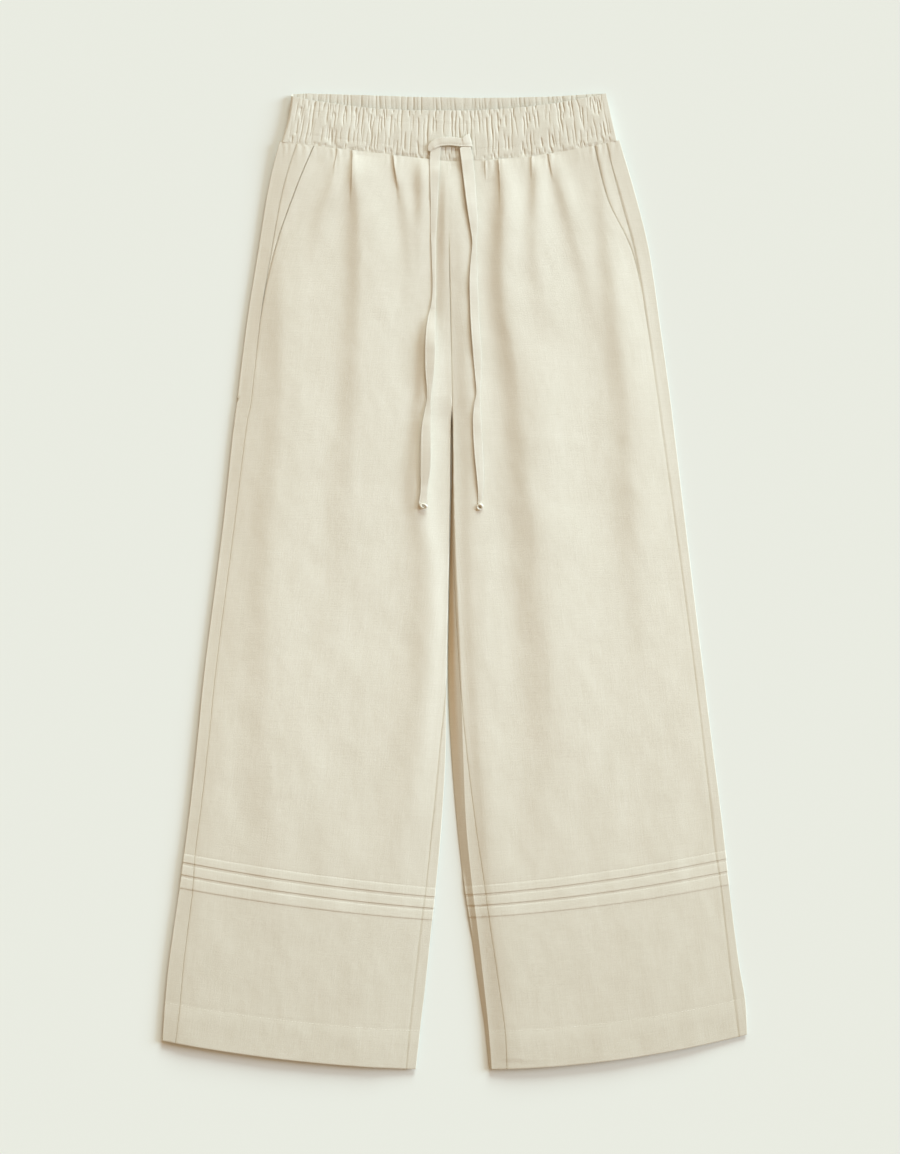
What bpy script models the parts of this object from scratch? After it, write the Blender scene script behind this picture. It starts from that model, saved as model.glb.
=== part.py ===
"""Wide-leg linen culottes with an elastic waist and a flat tie, laid flat with the front up.

Frame: +X across to the wearer's left, +Y up the garment to the waist, +Z off the table.
The origin is on the table, under the middle of the garment. Blender works here in metres.
The tables are in millimetres, and MM turns them into metres.

Each panel is a middle surface, made of rows of points across the leg, and a Solidify
modifier gives it the thickness of its cloth. A leg is a flattened tube: its back panel
lies on the table, turns up round the leg's two folds and ends on the front at the side
seam and the inseam, and the front panel lies on it between those two seams.
"""

import math
from collections import namedtuple

import bmesh
import bpy
import numpy as np

MM = 0.001
MERGE = 0.00001

# Cloth
LINEN_WALL = 1.2
BAND_WALL = 2.6
POCKET_WALL = 1.1
SEAM_GAP = 0.3
FOLD_SEAM_GAP = 0.9
FOLD_SEAM_FLAT = 5.0
FOLD_RADIUS = 2.4
FOOT_STRETCH = 0.22
EDGE_ROLL = 14.0
REST_HEIGHT = 3.2
FLAT_MID = LINEN_WALL / 2
FOLD_MID = FLAT_MID + FOLD_RADIUS
FOLD_TOP = FLAT_MID + 2 * FOLD_RADIUS

# Points of the grids: dense paths are traced first, and the columns are read from them
PATH_POINTS = 60
FRONT_COLUMNS = 14
FRONT_END_STEPS = np.array([14.0, 7.5, 4.0, 2.6, 1.3, 0.0])
FOLD_COLUMNS = 4
STRIP_LEAST = 1.2
TURN_LEAST = 6.0
HALF_STEP = 0.5
CROTCH_STEP = 0.35

# One leg from waist to hem. out_x, out_y and in_x, in_y are the two ends of a row across
# the front, bow is how far the row sags between them, back_rise how much higher the back
# panel's row ends at the centre, side and mouth how far in from the edge the side seam and
# the pocket mouth lie, inseam how far the inseam lies from the top of the inner fold
# (negative is down round the fold), closed is 1 where the leg is a tube, loft is how high
# the front stands over its resting height, and foot is how far the inner fold reaches out
# on the table beyond its top.
Section = namedtuple(
    "Section", "name out_x out_y in_x in_y bow back_rise side mouth inseam closed loft foot"
)

RIGHT_LEG = [
    Section("waist", -180.5, 452, -7.2, 431.5, 0, 17, 17.3, 36, -3.8, 0, 1.8, 0),
    Section("upper hip", -192, 404, -6.8, 391, 0, 11, 14.5, 28.5, -3.8, 0, 2.4, 0),
    Section("hip", -203.5, 334, -6.2, 330, 0, 4, 13.4, 16.5, -3.8, 0, 2.0, 0),
    Section("seat", -214, 268, -4.8, 268, 0, 0, 13.4, 13.4, -3.8, 0, 1.7, 0),
    Section("crotch", -224, 189, -3.2, 189, 0, 0, 14.4, 14.4, -3.8, 0, 1.5, 0),
    Section("fork", -228.5, 154, -4.6, 153, 0, 0, 12.8, 12.8, -3.8, 1, 1.5, 0),
    Section("thigh", -240, 48, -6, 45, 0, 0, 11.2, 11.2, -3.4, 1, 1.4, 0),
    Section("knee", -257, -84, -8.8, -92, 0, 0, 11.2, 11.2, -0.6, 1, 1.3, 0),
    Section("calf", -264.5, -157, -9.5, -170, 1, 0, 11.2, 11.2, 6.0, 1, 1.2, 0),
    Section("shin", -272, -226, -13.7, -248, 2, 0, 11, 11, 9.3, 1, 1.2, 0),
    Section("tuck top", -278.5, -277, -19.5, -312, 3, 0, 10.8, 10.8, 10, 1, 1.1, 0),
    Section("tuck base", -283.5, -316, -23.5, -349, 3.5, 0, 13, 13, 11, 1, 1.1, 0),
    Section("cuff", -294, -388, -30, -411, 4, 0, 14.8, 14.8, 11.6, 1, 1.2, 0),
    Section("hem stitch", -298.5, -433, -36, -462.5, 4.5, 0, 15.1, 15.1, 11, 1, 1.3, 0),
    Section("hem edge", -301, -472, -40.5, -501.5, 5, 0, 13.2, 13.2, 9.8, 1, 1.4, 0),
]

LEFT_LEG = [
    Section("waist", 169, 453.5, -7.2, 431.5, 5, 17, 14, 26, -3.8, 0, 1.8, 0),
    Section("upper hip", 186, 396, -6.8, 386, 4, 11, 16.5, 29, -3.8, 0, 2.4, 0),
    Section("hip", 200, 339, -6.2, 333, 2, 4, 15.2, 17.5, -3.8, 0, 2.0, 0),
    Section("seat", 210.5, 268, -4.8, 268, 0, 0, 13.6, 13.6, -3.8, 0, 1.7, 0),
    Section("crotch", 221.5, 189, -3.2, 189, 0, 0, 13.3, 13.3, -3.8, 0, 1.5, 0),
    Section("fork", 225.5, 156, -2.1, 153, 0, 0, 12.9, 12.9, -3.8, 1, 1.5, 0),
    Section("thigh", 238.5, 48, -0.6, 45, 0, 0, 10.8, 10.8, -3.8, 1, 1.4, 4.4),
    Section("knee", 254.5, -84, 5.5, -92, 0, 0, 9.3, 9.3, -2, 1, 1.3, 12.6),
    Section("calf", 263.5, -157, 7.8, -170, 1, 0, 9.6, 9.6, 2.8, 1, 1.2, 12),
    Section("shin", 272.3, -226, 11.2, -250, 2, 0, 10.3, 10.3, 9, 1, 1.2, 9),
    Section("tuck top", 278, -274, 17, -310, 4, 0, 10.8, 10.8, 12, 1, 1.1, 8.3),
    Section("tuck base", 282, -313, 21.5, -346, 4.5, 0, 9, 9, 12.3, 1, 1.1, 8),
    Section("cuff", 291.5, -388, 29, -411, 6, 0, 10, 10, 14.5, 1, 1.2, 8),
    Section("hem stitch", 298.5, -429, 34.5, -462.5, 7, 0, 11.8, 11.8, 16, 1, 1.3, 7),
    Section("hem edge", 300.5, -466, 37.5, -501.5, 7.5, 0, 8.7, 8.7, 14.8, 1, 1.4, 6),
]

SECTION_NAMES = [section.name for section in RIGHT_LEG]
HIP = SECTION_NAMES.index("hip")
CROTCH = SECTION_NAMES.index("crotch")
FORK = SECTION_NAMES.index("fork")
THIGH = SECTION_NAMES.index("thigh")
CALF = SECTION_NAMES.index("calf")
TUCK_TOP = SECTION_NAMES.index("tuck top")
HEM_STITCH = SECTION_NAMES.index("hem stitch")
LAST = len(SECTION_NAMES) - 1

# Soft folds of the front: where each starts and ends, its half width there, and how far it
# stands over the cloth beside it (negative is a trough).
Fold = namedtuple("Fold", "top_x top_y end_x end_y top_width end_width height")

FOLDS = [
    Fold(-123, 432, -142, 325, 9, 13, 1.1),
    Fold(-94, 436, -106, -120, 15, 34, 3.2),
    Fold(-61, 446, -50, 300, 7, 9, -1.6),
    Fold(-38, 442, -39, 310, 7, 9, -1.8),
    Fold(-10, 430, -11, 210, 9, 10, 1.2),
    Fold(33, 440, 36, 330, 7, 9, -1.8),
    Fold(57, 434, 100, -300, 13, 34, 3.6),
    Fold(5, 420, 42, -440, 14, 18, 1.9),
    Fold(81, 446, 84, 330, 7, 12, -1.5),
    Fold(110, 436, 150, 235, 9, 18, 1.2),
    Fold(153, 428, 196, -90, 13, 25, 1.9),
    Fold(-172, 345, -184, -400, 26, 38, 2.4),
    Fold(-34, 205, -44, -320, 14, 18, 2.0),
]
FADE_IN = 0.22
FADE_OUT = 0.66

# Tucks: three folds of cloth pressed down toward the hem, then the double cloth of the hem
TUCK_COUNT = 3
TUCK_LIFT = 1.3
TUCK_DROP = 0.06
HEM_LIFT = 0.4
HEM_STEP = 0.03

# Waistband: the ends of the ring at its seam and at its top edge, and its top edges
BAND_RADIUS = 2.0
BAND_LEFT_X = -174.0
BAND_RIGHT_TOP_X = 156.5
BAND_RIGHT_SEAM_X = 167.5
BAND_FRONT_HEIGHT = 5.2
BAND_GATHERS = 24
BAND_RIPPLE = 0.3
BAND_VARY = 0.33
BAND_UNEVEN = 1.7
BAND_PUFF = 0.5
BAND_CHANNELS = 3
BAND_BACK_COLUMNS = 6
BAND_FOLD_COLUMNS = 4
Edge = namedtuple("Edge", "x front_y back_y")
BAND_TOP = [
    Edge(-174, 500, 501),
    Edge(-150, 495, 502),
    Edge(-113, 489.5, 501),
    Edge(-84, 486, 500),
    Edge(-40, 484, 498.5),
    Edge(20, 484, 497.5),
    Edge(67, 487, 498),
    Edge(103, 491.5, 499),
    Edge(135, 497, 501),
    Edge(156.5, 502, 502.5),
]

# Edges that bend by more than this many degrees are shaded sharp
SHARP_ANGLE = 46.0

# Pocket hip piece
POCKET_TUCK_IN = 12.0
POCKET_DROP = 1.5
POCKET_LAST = 2.1
POCKET_ROWS = 8
POCKET_STEPS = np.array([0.5, 1.0])
POCKET_SEAM_GAP = 0.6

# Tie: a flat tape. tilt is its roll in degrees off lying flat, and gather how much of its
# width it keeps where it twists.
TAPE_WIDTH = 10.5
TAPE_WALL = 1.4
TAPE_CLEAR = 0.9
BAND_CLEAR = 0.9
BAND_LEAN = 3.0
KNOT_WALL = 2.4
KNOT_WIDTH = 9.0
TAPE_POINTS = 28
TAPE_SPREAD_POINTS = 5
LYING_TILT = 90.0
KNOT_POINTS = 10
Stop = namedtuple("Stop", "x y tilt gather")

RIGHT_TAIL = [
    Stop(-18.5, 445, 0, 1),
    Stop(-21.5, 430, 0, 1.05),
    Stop(-22.4, 405, 0, 1.05),
    Stop(-22.4, 380, 10, 0.95),
    Stop(-22.3, 345, 50, 0.7),
    Stop(-22.7, 313, 90, 0.45),
    Stop(-24.2, 290, 140, 0.75),
    Stop(-25.5, 268, 175, 1),
    Stop(-26, 243, 185, 0.95),
    Stop(-26.5, 214, 225, 0.7),
    Stop(-27.1, 186, 270, 0.45),
    Stop(-28.4, 164, 330, 0.8),
    Stop(-29.6, 144, 360, 1),
    Stop(-30.4, 113, 360, 0.85),
    Stop(-31.4, 91, 360, 0.5),
    Stop(-31.9, 78, 360, 0.85),
]

LEFT_TAIL = [
    Stop(11.5, 445, 0, 1),
    Stop(12.4, 430, 0, 1),
    Stop(14, 412, 0, 1),
    Stop(17, 387, 0, 1),
    Stop(20.4, 362, 30, 0.85),
    Stop(21, 345, 90, 0.5),
    Stop(18.6, 328, 150, 0.85),
    Stop(18.2, 307, 180, 1),
    Stop(19.8, 271, 180, 1),
    Stop(22.4, 238, 180, 0.95),
    Stop(23.6, 216, 215, 0.7),
    Stop(22, 190, 320, 0.75),
    Stop(21.6, 166, 355, 1),
    Stop(23.4, 137, 360, 1),
    Stop(26.6, 104, 370, 0.8),
    Stop(26, 89, 360, 0.5),
    Stop(25, 76, 360, 0.65),
]

KNOT = [
    Stop(-27, 441, 0, 0.8),
    Stop(-22.5, 449, 0, 0.95),
    Stop(-13, 454.5, 0, 1),
    Stop(-4, 455.5, 0, 1),
    Stop(5, 454.5, 0, 1),
    Stop(13, 454, 0, 1.2),
    Stop(18.5, 455.5, 0, 1.5),
]
KNOT_RISE = 2.0

# Finish of each cloth: linear colour and roughness
LINEN_COLOUR = (0.72, 0.68, 0.56)
BAND_COLOUR = (0.70, 0.66, 0.54)
TAPE_COLOUR = (0.74, 0.70, 0.59)
CLOTH_ROUGHNESS = 0.9


def clear_scene():
    """Remove whatever the scene holds."""
    for item in list(bpy.data.objects):
        bpy.data.objects.remove(item, do_unlink=True)


def smooth_step(value):
    """Rise smoothly from 0 to 1 as value goes from 0 to 1."""
    value = np.clip(value, 0.0, 1.0)
    return value * value * (3.0 - 2.0 * value)


def through(values, place):
    """Read a smooth curve that passes through values at the places 0, 1, 2 ..."""
    last = len(values) - 1
    index = min(int(place), last - 1)
    part = place - index
    before = values[max(index - 1, 0)]
    start = values[index]
    end = values[index + 1]
    after = values[min(index + 2, last)]
    rise_start = (end - before) / 2
    rise_end = (after - start) / 2
    return (
        (2 * part**3 - 3 * part**2 + 1) * start
        + (part**3 - 2 * part**2 + part) * rise_start
        + (3 * part**2 - 2 * part**3) * end
        + (part**3 - part**2) * rise_end
    )


def section_at(leg, place):
    """Give the leg's section at a place between two rows of its table."""
    columns = {}
    for column in Section._fields[1:]:
        values = [getattr(section, column) for section in leg]
        columns[column] = through(values, place)
    columns["closed"] = min(max(place - CROTCH, 0.0), 1.0)
    return Section("", **columns)


def folds_height(x, y):
    """Give the height that the front's soft folds add at a point."""
    total = 0.0
    for fold in FOLDS:
        along = (fold.top_y - y) / (fold.top_y - fold.end_y)
        fade = smooth_step((1.0 - along) / FADE_OUT) * smooth_step(1.0 + along / FADE_IN)
        centre = fold.top_x + (fold.end_x - fold.top_x) * along
        width = fold.top_width + (fold.end_width - fold.top_width) * np.clip(along, 0, 1)
        total = total + fold.height * fade * np.exp(-(((x - centre) / width) ** 2))
    return total


def row_point(section, across, back):
    """Place a point of a row: across runs in millimetres from the outer edge, back is 0 or 1."""
    part = across / abs(section.in_x - section.out_x)
    in_y = section.in_y + section.back_rise * back
    bow = section.bow * (1 - back * (1 - section.closed))
    x = section.out_x + (section.in_x - section.out_x) * part
    y = section.out_y + (in_y - section.out_y) * part - 4 * bow * part * (1 - part)
    return x, y


def front_height(section, across):
    """Give the middle height of the cloth on top of the leg."""
    width = abs(section.in_x - section.out_x)
    x, y = row_point(section, across, 0)
    flat = np.maximum(REST_HEIGHT, REST_HEIGHT + section.loft + folds_height(x, y))
    start = FLAT_MID + FOLD_RADIUS
    outer = np.exp(-((np.maximum(across - start, 0) / EDGE_ROLL) ** 2))
    inner = np.exp(-((np.maximum(width - across - start, 0) / EDGE_ROLL) ** 2))
    roll = np.maximum(outer, inner * section.closed)
    return flat + (FOLD_TOP - flat) * roll


def inseam_gap(section):
    """Give the gap at the inseam, wider where the seam is on the bend of the fold."""
    bend = min(max((FOLD_SEAM_FLAT - section.inseam) / FOLD_RADIUS, 0.0), 1.0)
    return SEAM_GAP + (FOLD_SEAM_GAP - SEAM_GAP) * bend


def lean_out(section, turn):
    """Give how far the inner fold leans out at a turn from its foot: 0 on the table, pi on top."""
    return max(section.foot, 0.0) * smooth_step(1 - turn / math.pi)


def inner_fold(section):
    """Give how far the front and the back turn round the inner fold, and where it starts."""
    front_turn = max(-section.inseam, 0.0) / FOLD_RADIUS * section.closed
    gap_turn = inseam_gap(section) / (FOLD_RADIUS + FOOT_STRETCH * section.foot)
    back_turn = (math.pi - gap_turn) * section.closed - front_turn
    width = abs(section.in_x - section.out_x)
    margin = SEAM_GAP / 2 + (FLAT_MID - SEAM_GAP / 2) * section.closed
    return front_turn, back_turn, width - margin


def fold_centre(section, turn):
    """Give where the inner fold's arc starts: a whole fold, or just far enough at the crotch."""
    edge = inner_fold(section)[2]
    short = math.sin(min(turn, math.pi / 2))
    return edge - FOLD_RADIUS * (short + (1 - short) * section.closed)


def front_path(section, start):
    """Trace the front panel across one row as points (across, height), from start inward."""
    turn = inner_fold(section)[0]
    if section.inseam > FOLD_SEAM_GAP and section.closed >= 1:
        end = fold_centre(section, turn) - section.inseam - inseam_gap(section) / 2
        flat = np.linspace(start, end, PATH_POINTS)
        return np.column_stack([flat, front_height(section, flat)])
    end = fold_centre(section, turn)
    flat = np.linspace(start, end, PATH_POINTS)
    path = np.column_stack([flat, front_height(section, flat)])
    if turn <= 0:
        return path
    angle = np.linspace(0, turn, PATH_POINTS)[1:]
    top = path[-1, 1]
    out = FOLD_RADIUS * np.sin(angle) + lean_out(section, math.pi - angle)
    arc = np.column_stack([end + out, top - FOLD_RADIUS * (1 - np.cos(angle))])
    return np.vstack([path, arc])


def back_path(section):
    """Trace the back panel across one row: side seam, outer fold, table, inner fold."""
    strip = np.linspace(section.side - SEAM_GAP / 2, FOLD_MID, PATH_POINTS)
    pieces = [np.column_stack([strip, front_height(section, strip)])]
    angle = np.linspace(0, math.pi, PATH_POINTS)[1:]
    pieces.append(
        np.column_stack(
            [FOLD_MID - FOLD_RADIUS * np.sin(angle), FOLD_MID + FOLD_RADIUS * np.cos(angle)]
        )
    )
    turn = inner_fold(section)[1]
    on_top = section.inseam > FOLD_SEAM_GAP and section.closed >= 1
    if on_top:
        turn = math.pi
    centre = fold_centre(section, turn)
    pieces.append(np.array([[centre + lean_out(section, 0.0), FLAT_MID]]))
    if turn > 0:
        angle = np.linspace(0, turn, PATH_POINTS)[1:]
        out = FOLD_RADIUS * np.sin(angle) + lean_out(section, angle)
        pieces.append(np.column_stack([centre + out, FOLD_MID - FOLD_RADIUS * np.cos(angle)]))
    if on_top:
        strip = np.linspace(0, section.inseam - inseam_gap(section) / 2, PATH_POINTS)[1:]
        pieces.append(np.column_stack([centre - strip, front_height(section, centre - strip)]))
    return np.vstack(pieces)


def path_length(path):
    """Give the length of a path up to each of its points."""
    steps = np.hypot(*np.diff(path, axis=0).T)
    return np.concatenate([[0.0], np.cumsum(steps)])


def read_path(path, distances):
    """Read a path at the given distances along it."""
    lengths = path_length(path)
    across = np.interp(distances, lengths, path[:, 0])
    height = np.interp(distances, lengths, path[:, 1])
    return np.column_stack([across, height])


def tuck_lift(place):
    """Give how far the tucks and the hem stand over the single cloth at a place."""
    if place >= HEM_STITCH + HEM_STEP:
        return HEM_LIFT
    part = (place - TUCK_TOP) * TUCK_COUNT
    if part <= 0 or part >= TUCK_COUNT:
        return 0.0
    within = part % 1.0
    if within > 1.0 - TUCK_DROP:
        return TUCK_LIFT * (1.0 - within) / TUCK_DROP
    return TUCK_LIFT * within / (1.0 - TUCK_DROP)


def row_places():
    """List the places of the rows, from waist to hem."""
    places = list(np.arange(0, HIP, HALF_STEP))
    places += list(range(HIP, CROTCH + 1))
    places += [CROTCH + CROTCH_STEP, FORK]
    places += list(np.arange(THIGH, CALF, HALF_STEP))
    places += list(range(CALF, TUCK_TOP))
    for tuck in range(TUCK_COUNT):
        foot = TUCK_TOP + tuck / TUCK_COUNT
        places += [foot, foot + (1 - TUCK_DROP) / TUCK_COUNT]
    places += [TUCK_TOP + 1, HEM_STITCH, HEM_STITCH + HEM_STEP, LAST]
    return places


def place_row(section, points, place, back, upper):
    """Turn points (across, height) into points in space, with the tucks on the upper ones."""
    x, y = row_point(section, points[:, 0], back)
    z = points[:, 1] + tuck_lift(place) * upper
    return np.column_stack([x, y, z]) * MM


def sheet_object(name, rows, wall, finish):
    """Make a panel from rows of points on its middle surface and give it its thickness."""
    mesh = bpy.data.meshes.new(name)
    made = bmesh.new()
    grid = [[made.verts.new(point) for point in row] for row in rows]
    for upper, lower in zip(grid, grid[1:]):
        for column in range(len(upper) - 1):
            made.faces.new((upper[column], lower[column], lower[column + 1], upper[column + 1]))
    made.to_mesh(mesh)
    made.free()
    mesh.shade_smooth()
    mesh.set_sharp_from_angle(angle=math.radians(SHARP_ANGLE))
    mesh.materials.append(finish)
    panel = bpy.data.objects.new(name, mesh)
    bpy.context.collection.objects.link(panel)
    solidify = panel.modifiers.new("cloth thickness", "SOLIDIFY")
    solidify.thickness = wall * MM
    solidify.offset = 0.0
    return panel


def front_panel(name, leg, finish):
    """Make a front: from the pocket mouth or side seam to the centre seam or inseam."""
    rows = []
    for place in row_places():
        section = section_at(leg, place)
        path = front_path(section, max(section.mouth, section.side) + SEAM_GAP / 2)
        ends = path_length(path)[-1] - FRONT_END_STEPS
        middle = np.linspace(0, ends[0], FRONT_COLUMNS + 1)[:-1]
        points = read_path(path, np.concatenate([middle, ends]))
        rows.append(place_row(section, points, place, 0, 1))
    rows[0][:, 1] -= SEAM_GAP / 2 * MM
    return sheet_object(name, rows, LINEN_WALL, finish)


def back_panel(name, leg, finish):
    """Make a back: it lies on the table and turns up round both folds of the leg."""
    arc = math.pi * FOLD_RADIUS
    rows = []
    for place in row_places():
        section = section_at(leg, place)
        path = back_path(section)
        total = path_length(path)[-1]
        round_fold = np.linspace(0, 1, FOLD_COLUMNS + 1)
        first = section.side - FOLD_MID + arc * round_fold
        turned = inner_fold(section)[1] * FOLD_RADIUS if section.inseam <= 0 else arc
        turned += max(section.foot, 0.0)
        last = max(section.inseam, STRIP_LEAST) + max(turned, TURN_LEAST) * round_fold
        middle = [(first[-1] + total - last[-1]) / 2]
        distances = np.concatenate([[0.0], first, middle, total - last[::-1], [total]])
        points = read_path(path, distances)
        under = (points[:, 1] < FOLD_MID).astype(float)
        upper = smooth_step((points[:, 1] - FOLD_MID) / (FOLD_RADIUS / 2))
        rows.append(place_row(section, points, place, under, upper))
    rows[0][:, 1] -= SEAM_GAP / 2 * MM
    return sheet_object(name, rows, LINEN_WALL, finish)


def pocket_piece(name, leg, finish):
    """Make a hip piece: level with the back at the side seam, and under the front beyond."""
    rows = []
    for place in np.linspace(0, POCKET_LAST, POCKET_ROWS):
        section = section_at(leg, place)
        start = section.side + POCKET_SEAM_GAP
        shown = section.mouth - POCKET_SEAM_GAP - start
        hidden = section.mouth + POCKET_TUCK_IN * POCKET_STEPS
        across = np.concatenate([[start], start + shown * POCKET_STEPS, hidden])
        drop = POCKET_DROP * smooth_step((across - start) / shown)
        points = np.column_stack([across, front_height(section, across) - drop])
        x, y = row_point(section, points[:, 0], 0)
        rows.append(np.column_stack([x, y, points[:, 1]]) * MM)
    rows[0][:, 1] -= SEAM_GAP / 2 * MM
    return sheet_object(name, rows, POCKET_WALL, finish)


def waist_seam(x, back):
    """Give the height up the garment of the waist seam at x, on the front or the back."""
    leg = RIGHT_LEG if x < RIGHT_LEG[0].in_x else LEFT_LEG
    section = leg[0]
    across = min(max(abs(x - section.out_x), 0.0), abs(section.in_x - section.out_x))
    if (x - section.out_x) * (section.in_x - section.out_x) < 0:
        across = 0.0
    return row_point(section, across, back)[1]


def band_top(x, back):
    """Give the height up the garment of the waistband's top edge at x."""
    places = [edge.x for edge in BAND_TOP]
    front = np.interp(x, places, [edge.front_y for edge in BAND_TOP])
    rear = np.interp(x, places, [edge.back_y for edge in BAND_TOP])
    return front + (rear - front) * back


def band_loop():
    """List the ring's columns: part of the way across, back, height, and gather number."""
    loop = []
    low = BAND_WALL / 2
    columns = 2 * BAND_GATHERS
    for column in range(columns + 1):
        loop.append((column / columns, 0.0, BAND_FRONT_HEIGHT, column))
    for step in range(1, BAND_FOLD_COLUMNS):
        turn = math.pi * step / BAND_FOLD_COLUMNS
        height = low + (BAND_FRONT_HEIGHT - low) * (1 + math.cos(turn)) / 2
        loop.append((1.0 + math.sin(turn), (1 - math.cos(turn)) / 2, height, None))
    for column in range(BAND_BACK_COLUMNS + 1):
        loop.append((1 - column / BAND_BACK_COLUMNS, 1.0, low, None))
    for step in range(1, BAND_FOLD_COLUMNS):
        turn = math.pi * step / BAND_FOLD_COLUMNS
        height = low + (BAND_FRONT_HEIGHT - low) * (1 - math.cos(turn)) / 2
        loop.append((-math.sin(turn), (1 + math.cos(turn)) / 2, height, None))
    return loop


def band_row(loop, part):
    """Place one row of the waistband, part of the way from its seam to its top edge."""
    puff = abs(math.sin(math.pi * BAND_CHANNELS * part))
    left = BAND_LEFT_X + BAND_RADIUS + BAND_WALL / 2
    right = BAND_RIGHT_SEAM_X + (BAND_RIGHT_TOP_X - BAND_RIGHT_SEAM_X) * part
    right -= BAND_RADIUS + BAND_WALL / 2
    row = []
    for across, back, height, gather in loop:
        inside = min(max(across, 0.0), 1.0)
        x = left + (right - left) * inside + BAND_RADIUS * (across - inside)
        low = waist_seam(x, back) + SEAM_GAP / 2
        y = low + (band_top(x, back) - low) * part
        z = height
        if gather is not None:
            wave = 1 if gather % 2 else -1
            strength = (1 + BAND_VARY * math.sin(BAND_UNEVEN * gather)) * (1 + puff)
            ends = smooth_step(min(gather, 2 * BAND_GATHERS - gather) / BAND_FOLD_COLUMNS)
            z += (BAND_RIPPLE * wave * strength + BAND_PUFF * puff) * ends
        row.append((x * MM, y * MM, z * MM))
    row.append(row[0])
    return row


def waistband(finish):
    """Make the gathered ring of the waistband, its front lying on its back."""
    loop = band_loop()
    steps = 2 * BAND_CHANNELS
    rows = [band_row(loop, 1 - step / steps) for step in range(steps + 1)]
    band = sheet_object("waistband", rows, BAND_WALL, finish)
    ring = bmesh.new()
    ring.from_mesh(band.data)
    bmesh.ops.remove_doubles(ring, verts=ring.verts, dist=MERGE)
    ring.to_mesh(band.data)
    ring.free()
    return band


def cloth_top(x, y):
    """Give the height of the top face of the cloth that the tie lies on."""
    seam = waist_seam(x, 0)
    if y > seam - BAND_LEAN:
        return BAND_FRONT_HEIGHT + BAND_PUFF + BAND_WALL / 2 + BAND_CLEAR
    leg = RIGHT_LEG if x < RIGHT_LEG[CROTCH].in_x else LEFT_LEG
    rows = [section.out_y for section in leg]
    place = float(np.interp(-y, [-row for row in rows], range(len(rows))))
    section = section_at(leg, place)
    across = abs(x - section.out_x)
    spread = np.linspace(-TAPE_WIDTH / 2, TAPE_WIDTH / 2, TAPE_SPREAD_POINTS)
    highest = float(np.max(front_height(section, across + spread)))
    return highest + LINEN_WALL / 2 + TAPE_CLEAR


def tape_object(name, stops, count, width, wall, rise, finish):
    """Make a flat tape along its stops: an edge-rounded strip on a curve, with closed ends."""
    curve = bpy.data.curves.new(name, "CURVE")
    curve.dimensions = "3D"
    curve.twist_mode = "Z_UP"
    curve.bevel_depth = wall / 2 * MM
    curve.bevel_resolution = 1
    curve.extrude = (width - wall) / 2 * MM
    curve.use_fill_caps = True
    line = curve.splines.new("POLY")
    line.points.add(count - 1)
    for index, point in enumerate(line.points):
        place = index * (len(stops) - 1) / (count - 1)
        x, y, tilt, gather = (through(values, place) for values in zip(*stops))
        upright = abs(math.sin(math.radians(tilt)))
        half_height = gather * (wall / 2 * (1 - upright) + width / 2 * upright)
        height = cloth_top(x, y) + rise + half_height
        point.co = (x * MM, y * MM, height * MM, 1)
        point.tilt = math.radians(LYING_TILT + tilt)
        point.radius = gather
    curve.materials.append(finish)
    tape = bpy.data.objects.new(name, curve)
    bpy.context.collection.objects.link(tape)
    return tape


def cloth_finish(name, colour):
    """Make a plain matt cloth."""
    finish = bpy.data.materials.new(name)
    finish.use_nodes = True
    shader = finish.node_tree.nodes["Principled BSDF"]
    shader.inputs["Base Color"].default_value = (*colour, 1.0)
    shader.inputs["Roughness"].default_value = CLOTH_ROUGHNESS
    shader.inputs["Metallic"].default_value = 0.0
    return finish


def main():
    """Build the culottes."""
    clear_scene()
    linen = cloth_finish("linen", LINEN_COLOUR)
    band = cloth_finish("gathered linen", BAND_COLOUR)
    tape = cloth_finish("linen tape", TAPE_COLOUR)
    for side, leg in (("right", RIGHT_LEG), ("left", LEFT_LEG)):
        front_panel(f"front_{side}", leg, linen)
        back_panel(f"back_{side}", leg, linen)
        pocket_piece(f"pocket_{side}", leg, linen)
    waistband(band)
    tape_object("drawstring_right", RIGHT_TAIL, TAPE_POINTS, TAPE_WIDTH, TAPE_WALL, 0, tape)
    tape_object("drawstring_left", LEFT_TAIL, TAPE_POINTS, TAPE_WIDTH, TAPE_WALL, 0, tape)
    tape_object("drawstring_knot", KNOT, KNOT_POINTS, KNOT_WIDTH, KNOT_WALL, KNOT_RISE, tape)


main()
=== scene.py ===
"""Looks of the wide-leg linen culottes: cloth, tucks, gathers, tie, stitches, camera and light.

Frame: +X to the wearer's left, +Y up the garment to the waist, +Z off the table, in metres.
The shapes are worked out in millimetres, as the pattern is, and MM turns them into metres.
"""

import logging
import math
from dataclasses import dataclass, fields, replace
from enum import Enum
from typing import Any, NamedTuple, Sequence

import bmesh
import bpy
import numpy as np
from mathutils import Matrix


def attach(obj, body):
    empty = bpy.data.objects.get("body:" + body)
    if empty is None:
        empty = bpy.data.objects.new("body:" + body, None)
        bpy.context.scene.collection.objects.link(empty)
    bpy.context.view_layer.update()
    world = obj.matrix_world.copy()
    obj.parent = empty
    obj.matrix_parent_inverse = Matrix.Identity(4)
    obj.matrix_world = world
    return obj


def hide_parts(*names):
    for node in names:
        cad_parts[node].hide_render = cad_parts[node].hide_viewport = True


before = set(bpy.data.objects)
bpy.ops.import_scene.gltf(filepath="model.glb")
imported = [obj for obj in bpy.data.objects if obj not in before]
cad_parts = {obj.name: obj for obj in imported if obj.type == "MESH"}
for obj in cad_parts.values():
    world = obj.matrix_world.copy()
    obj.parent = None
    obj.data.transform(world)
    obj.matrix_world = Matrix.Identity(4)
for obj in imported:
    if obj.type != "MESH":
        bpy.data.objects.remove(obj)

Array = np.ndarray
Colour = tuple[float, float, float]
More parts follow.
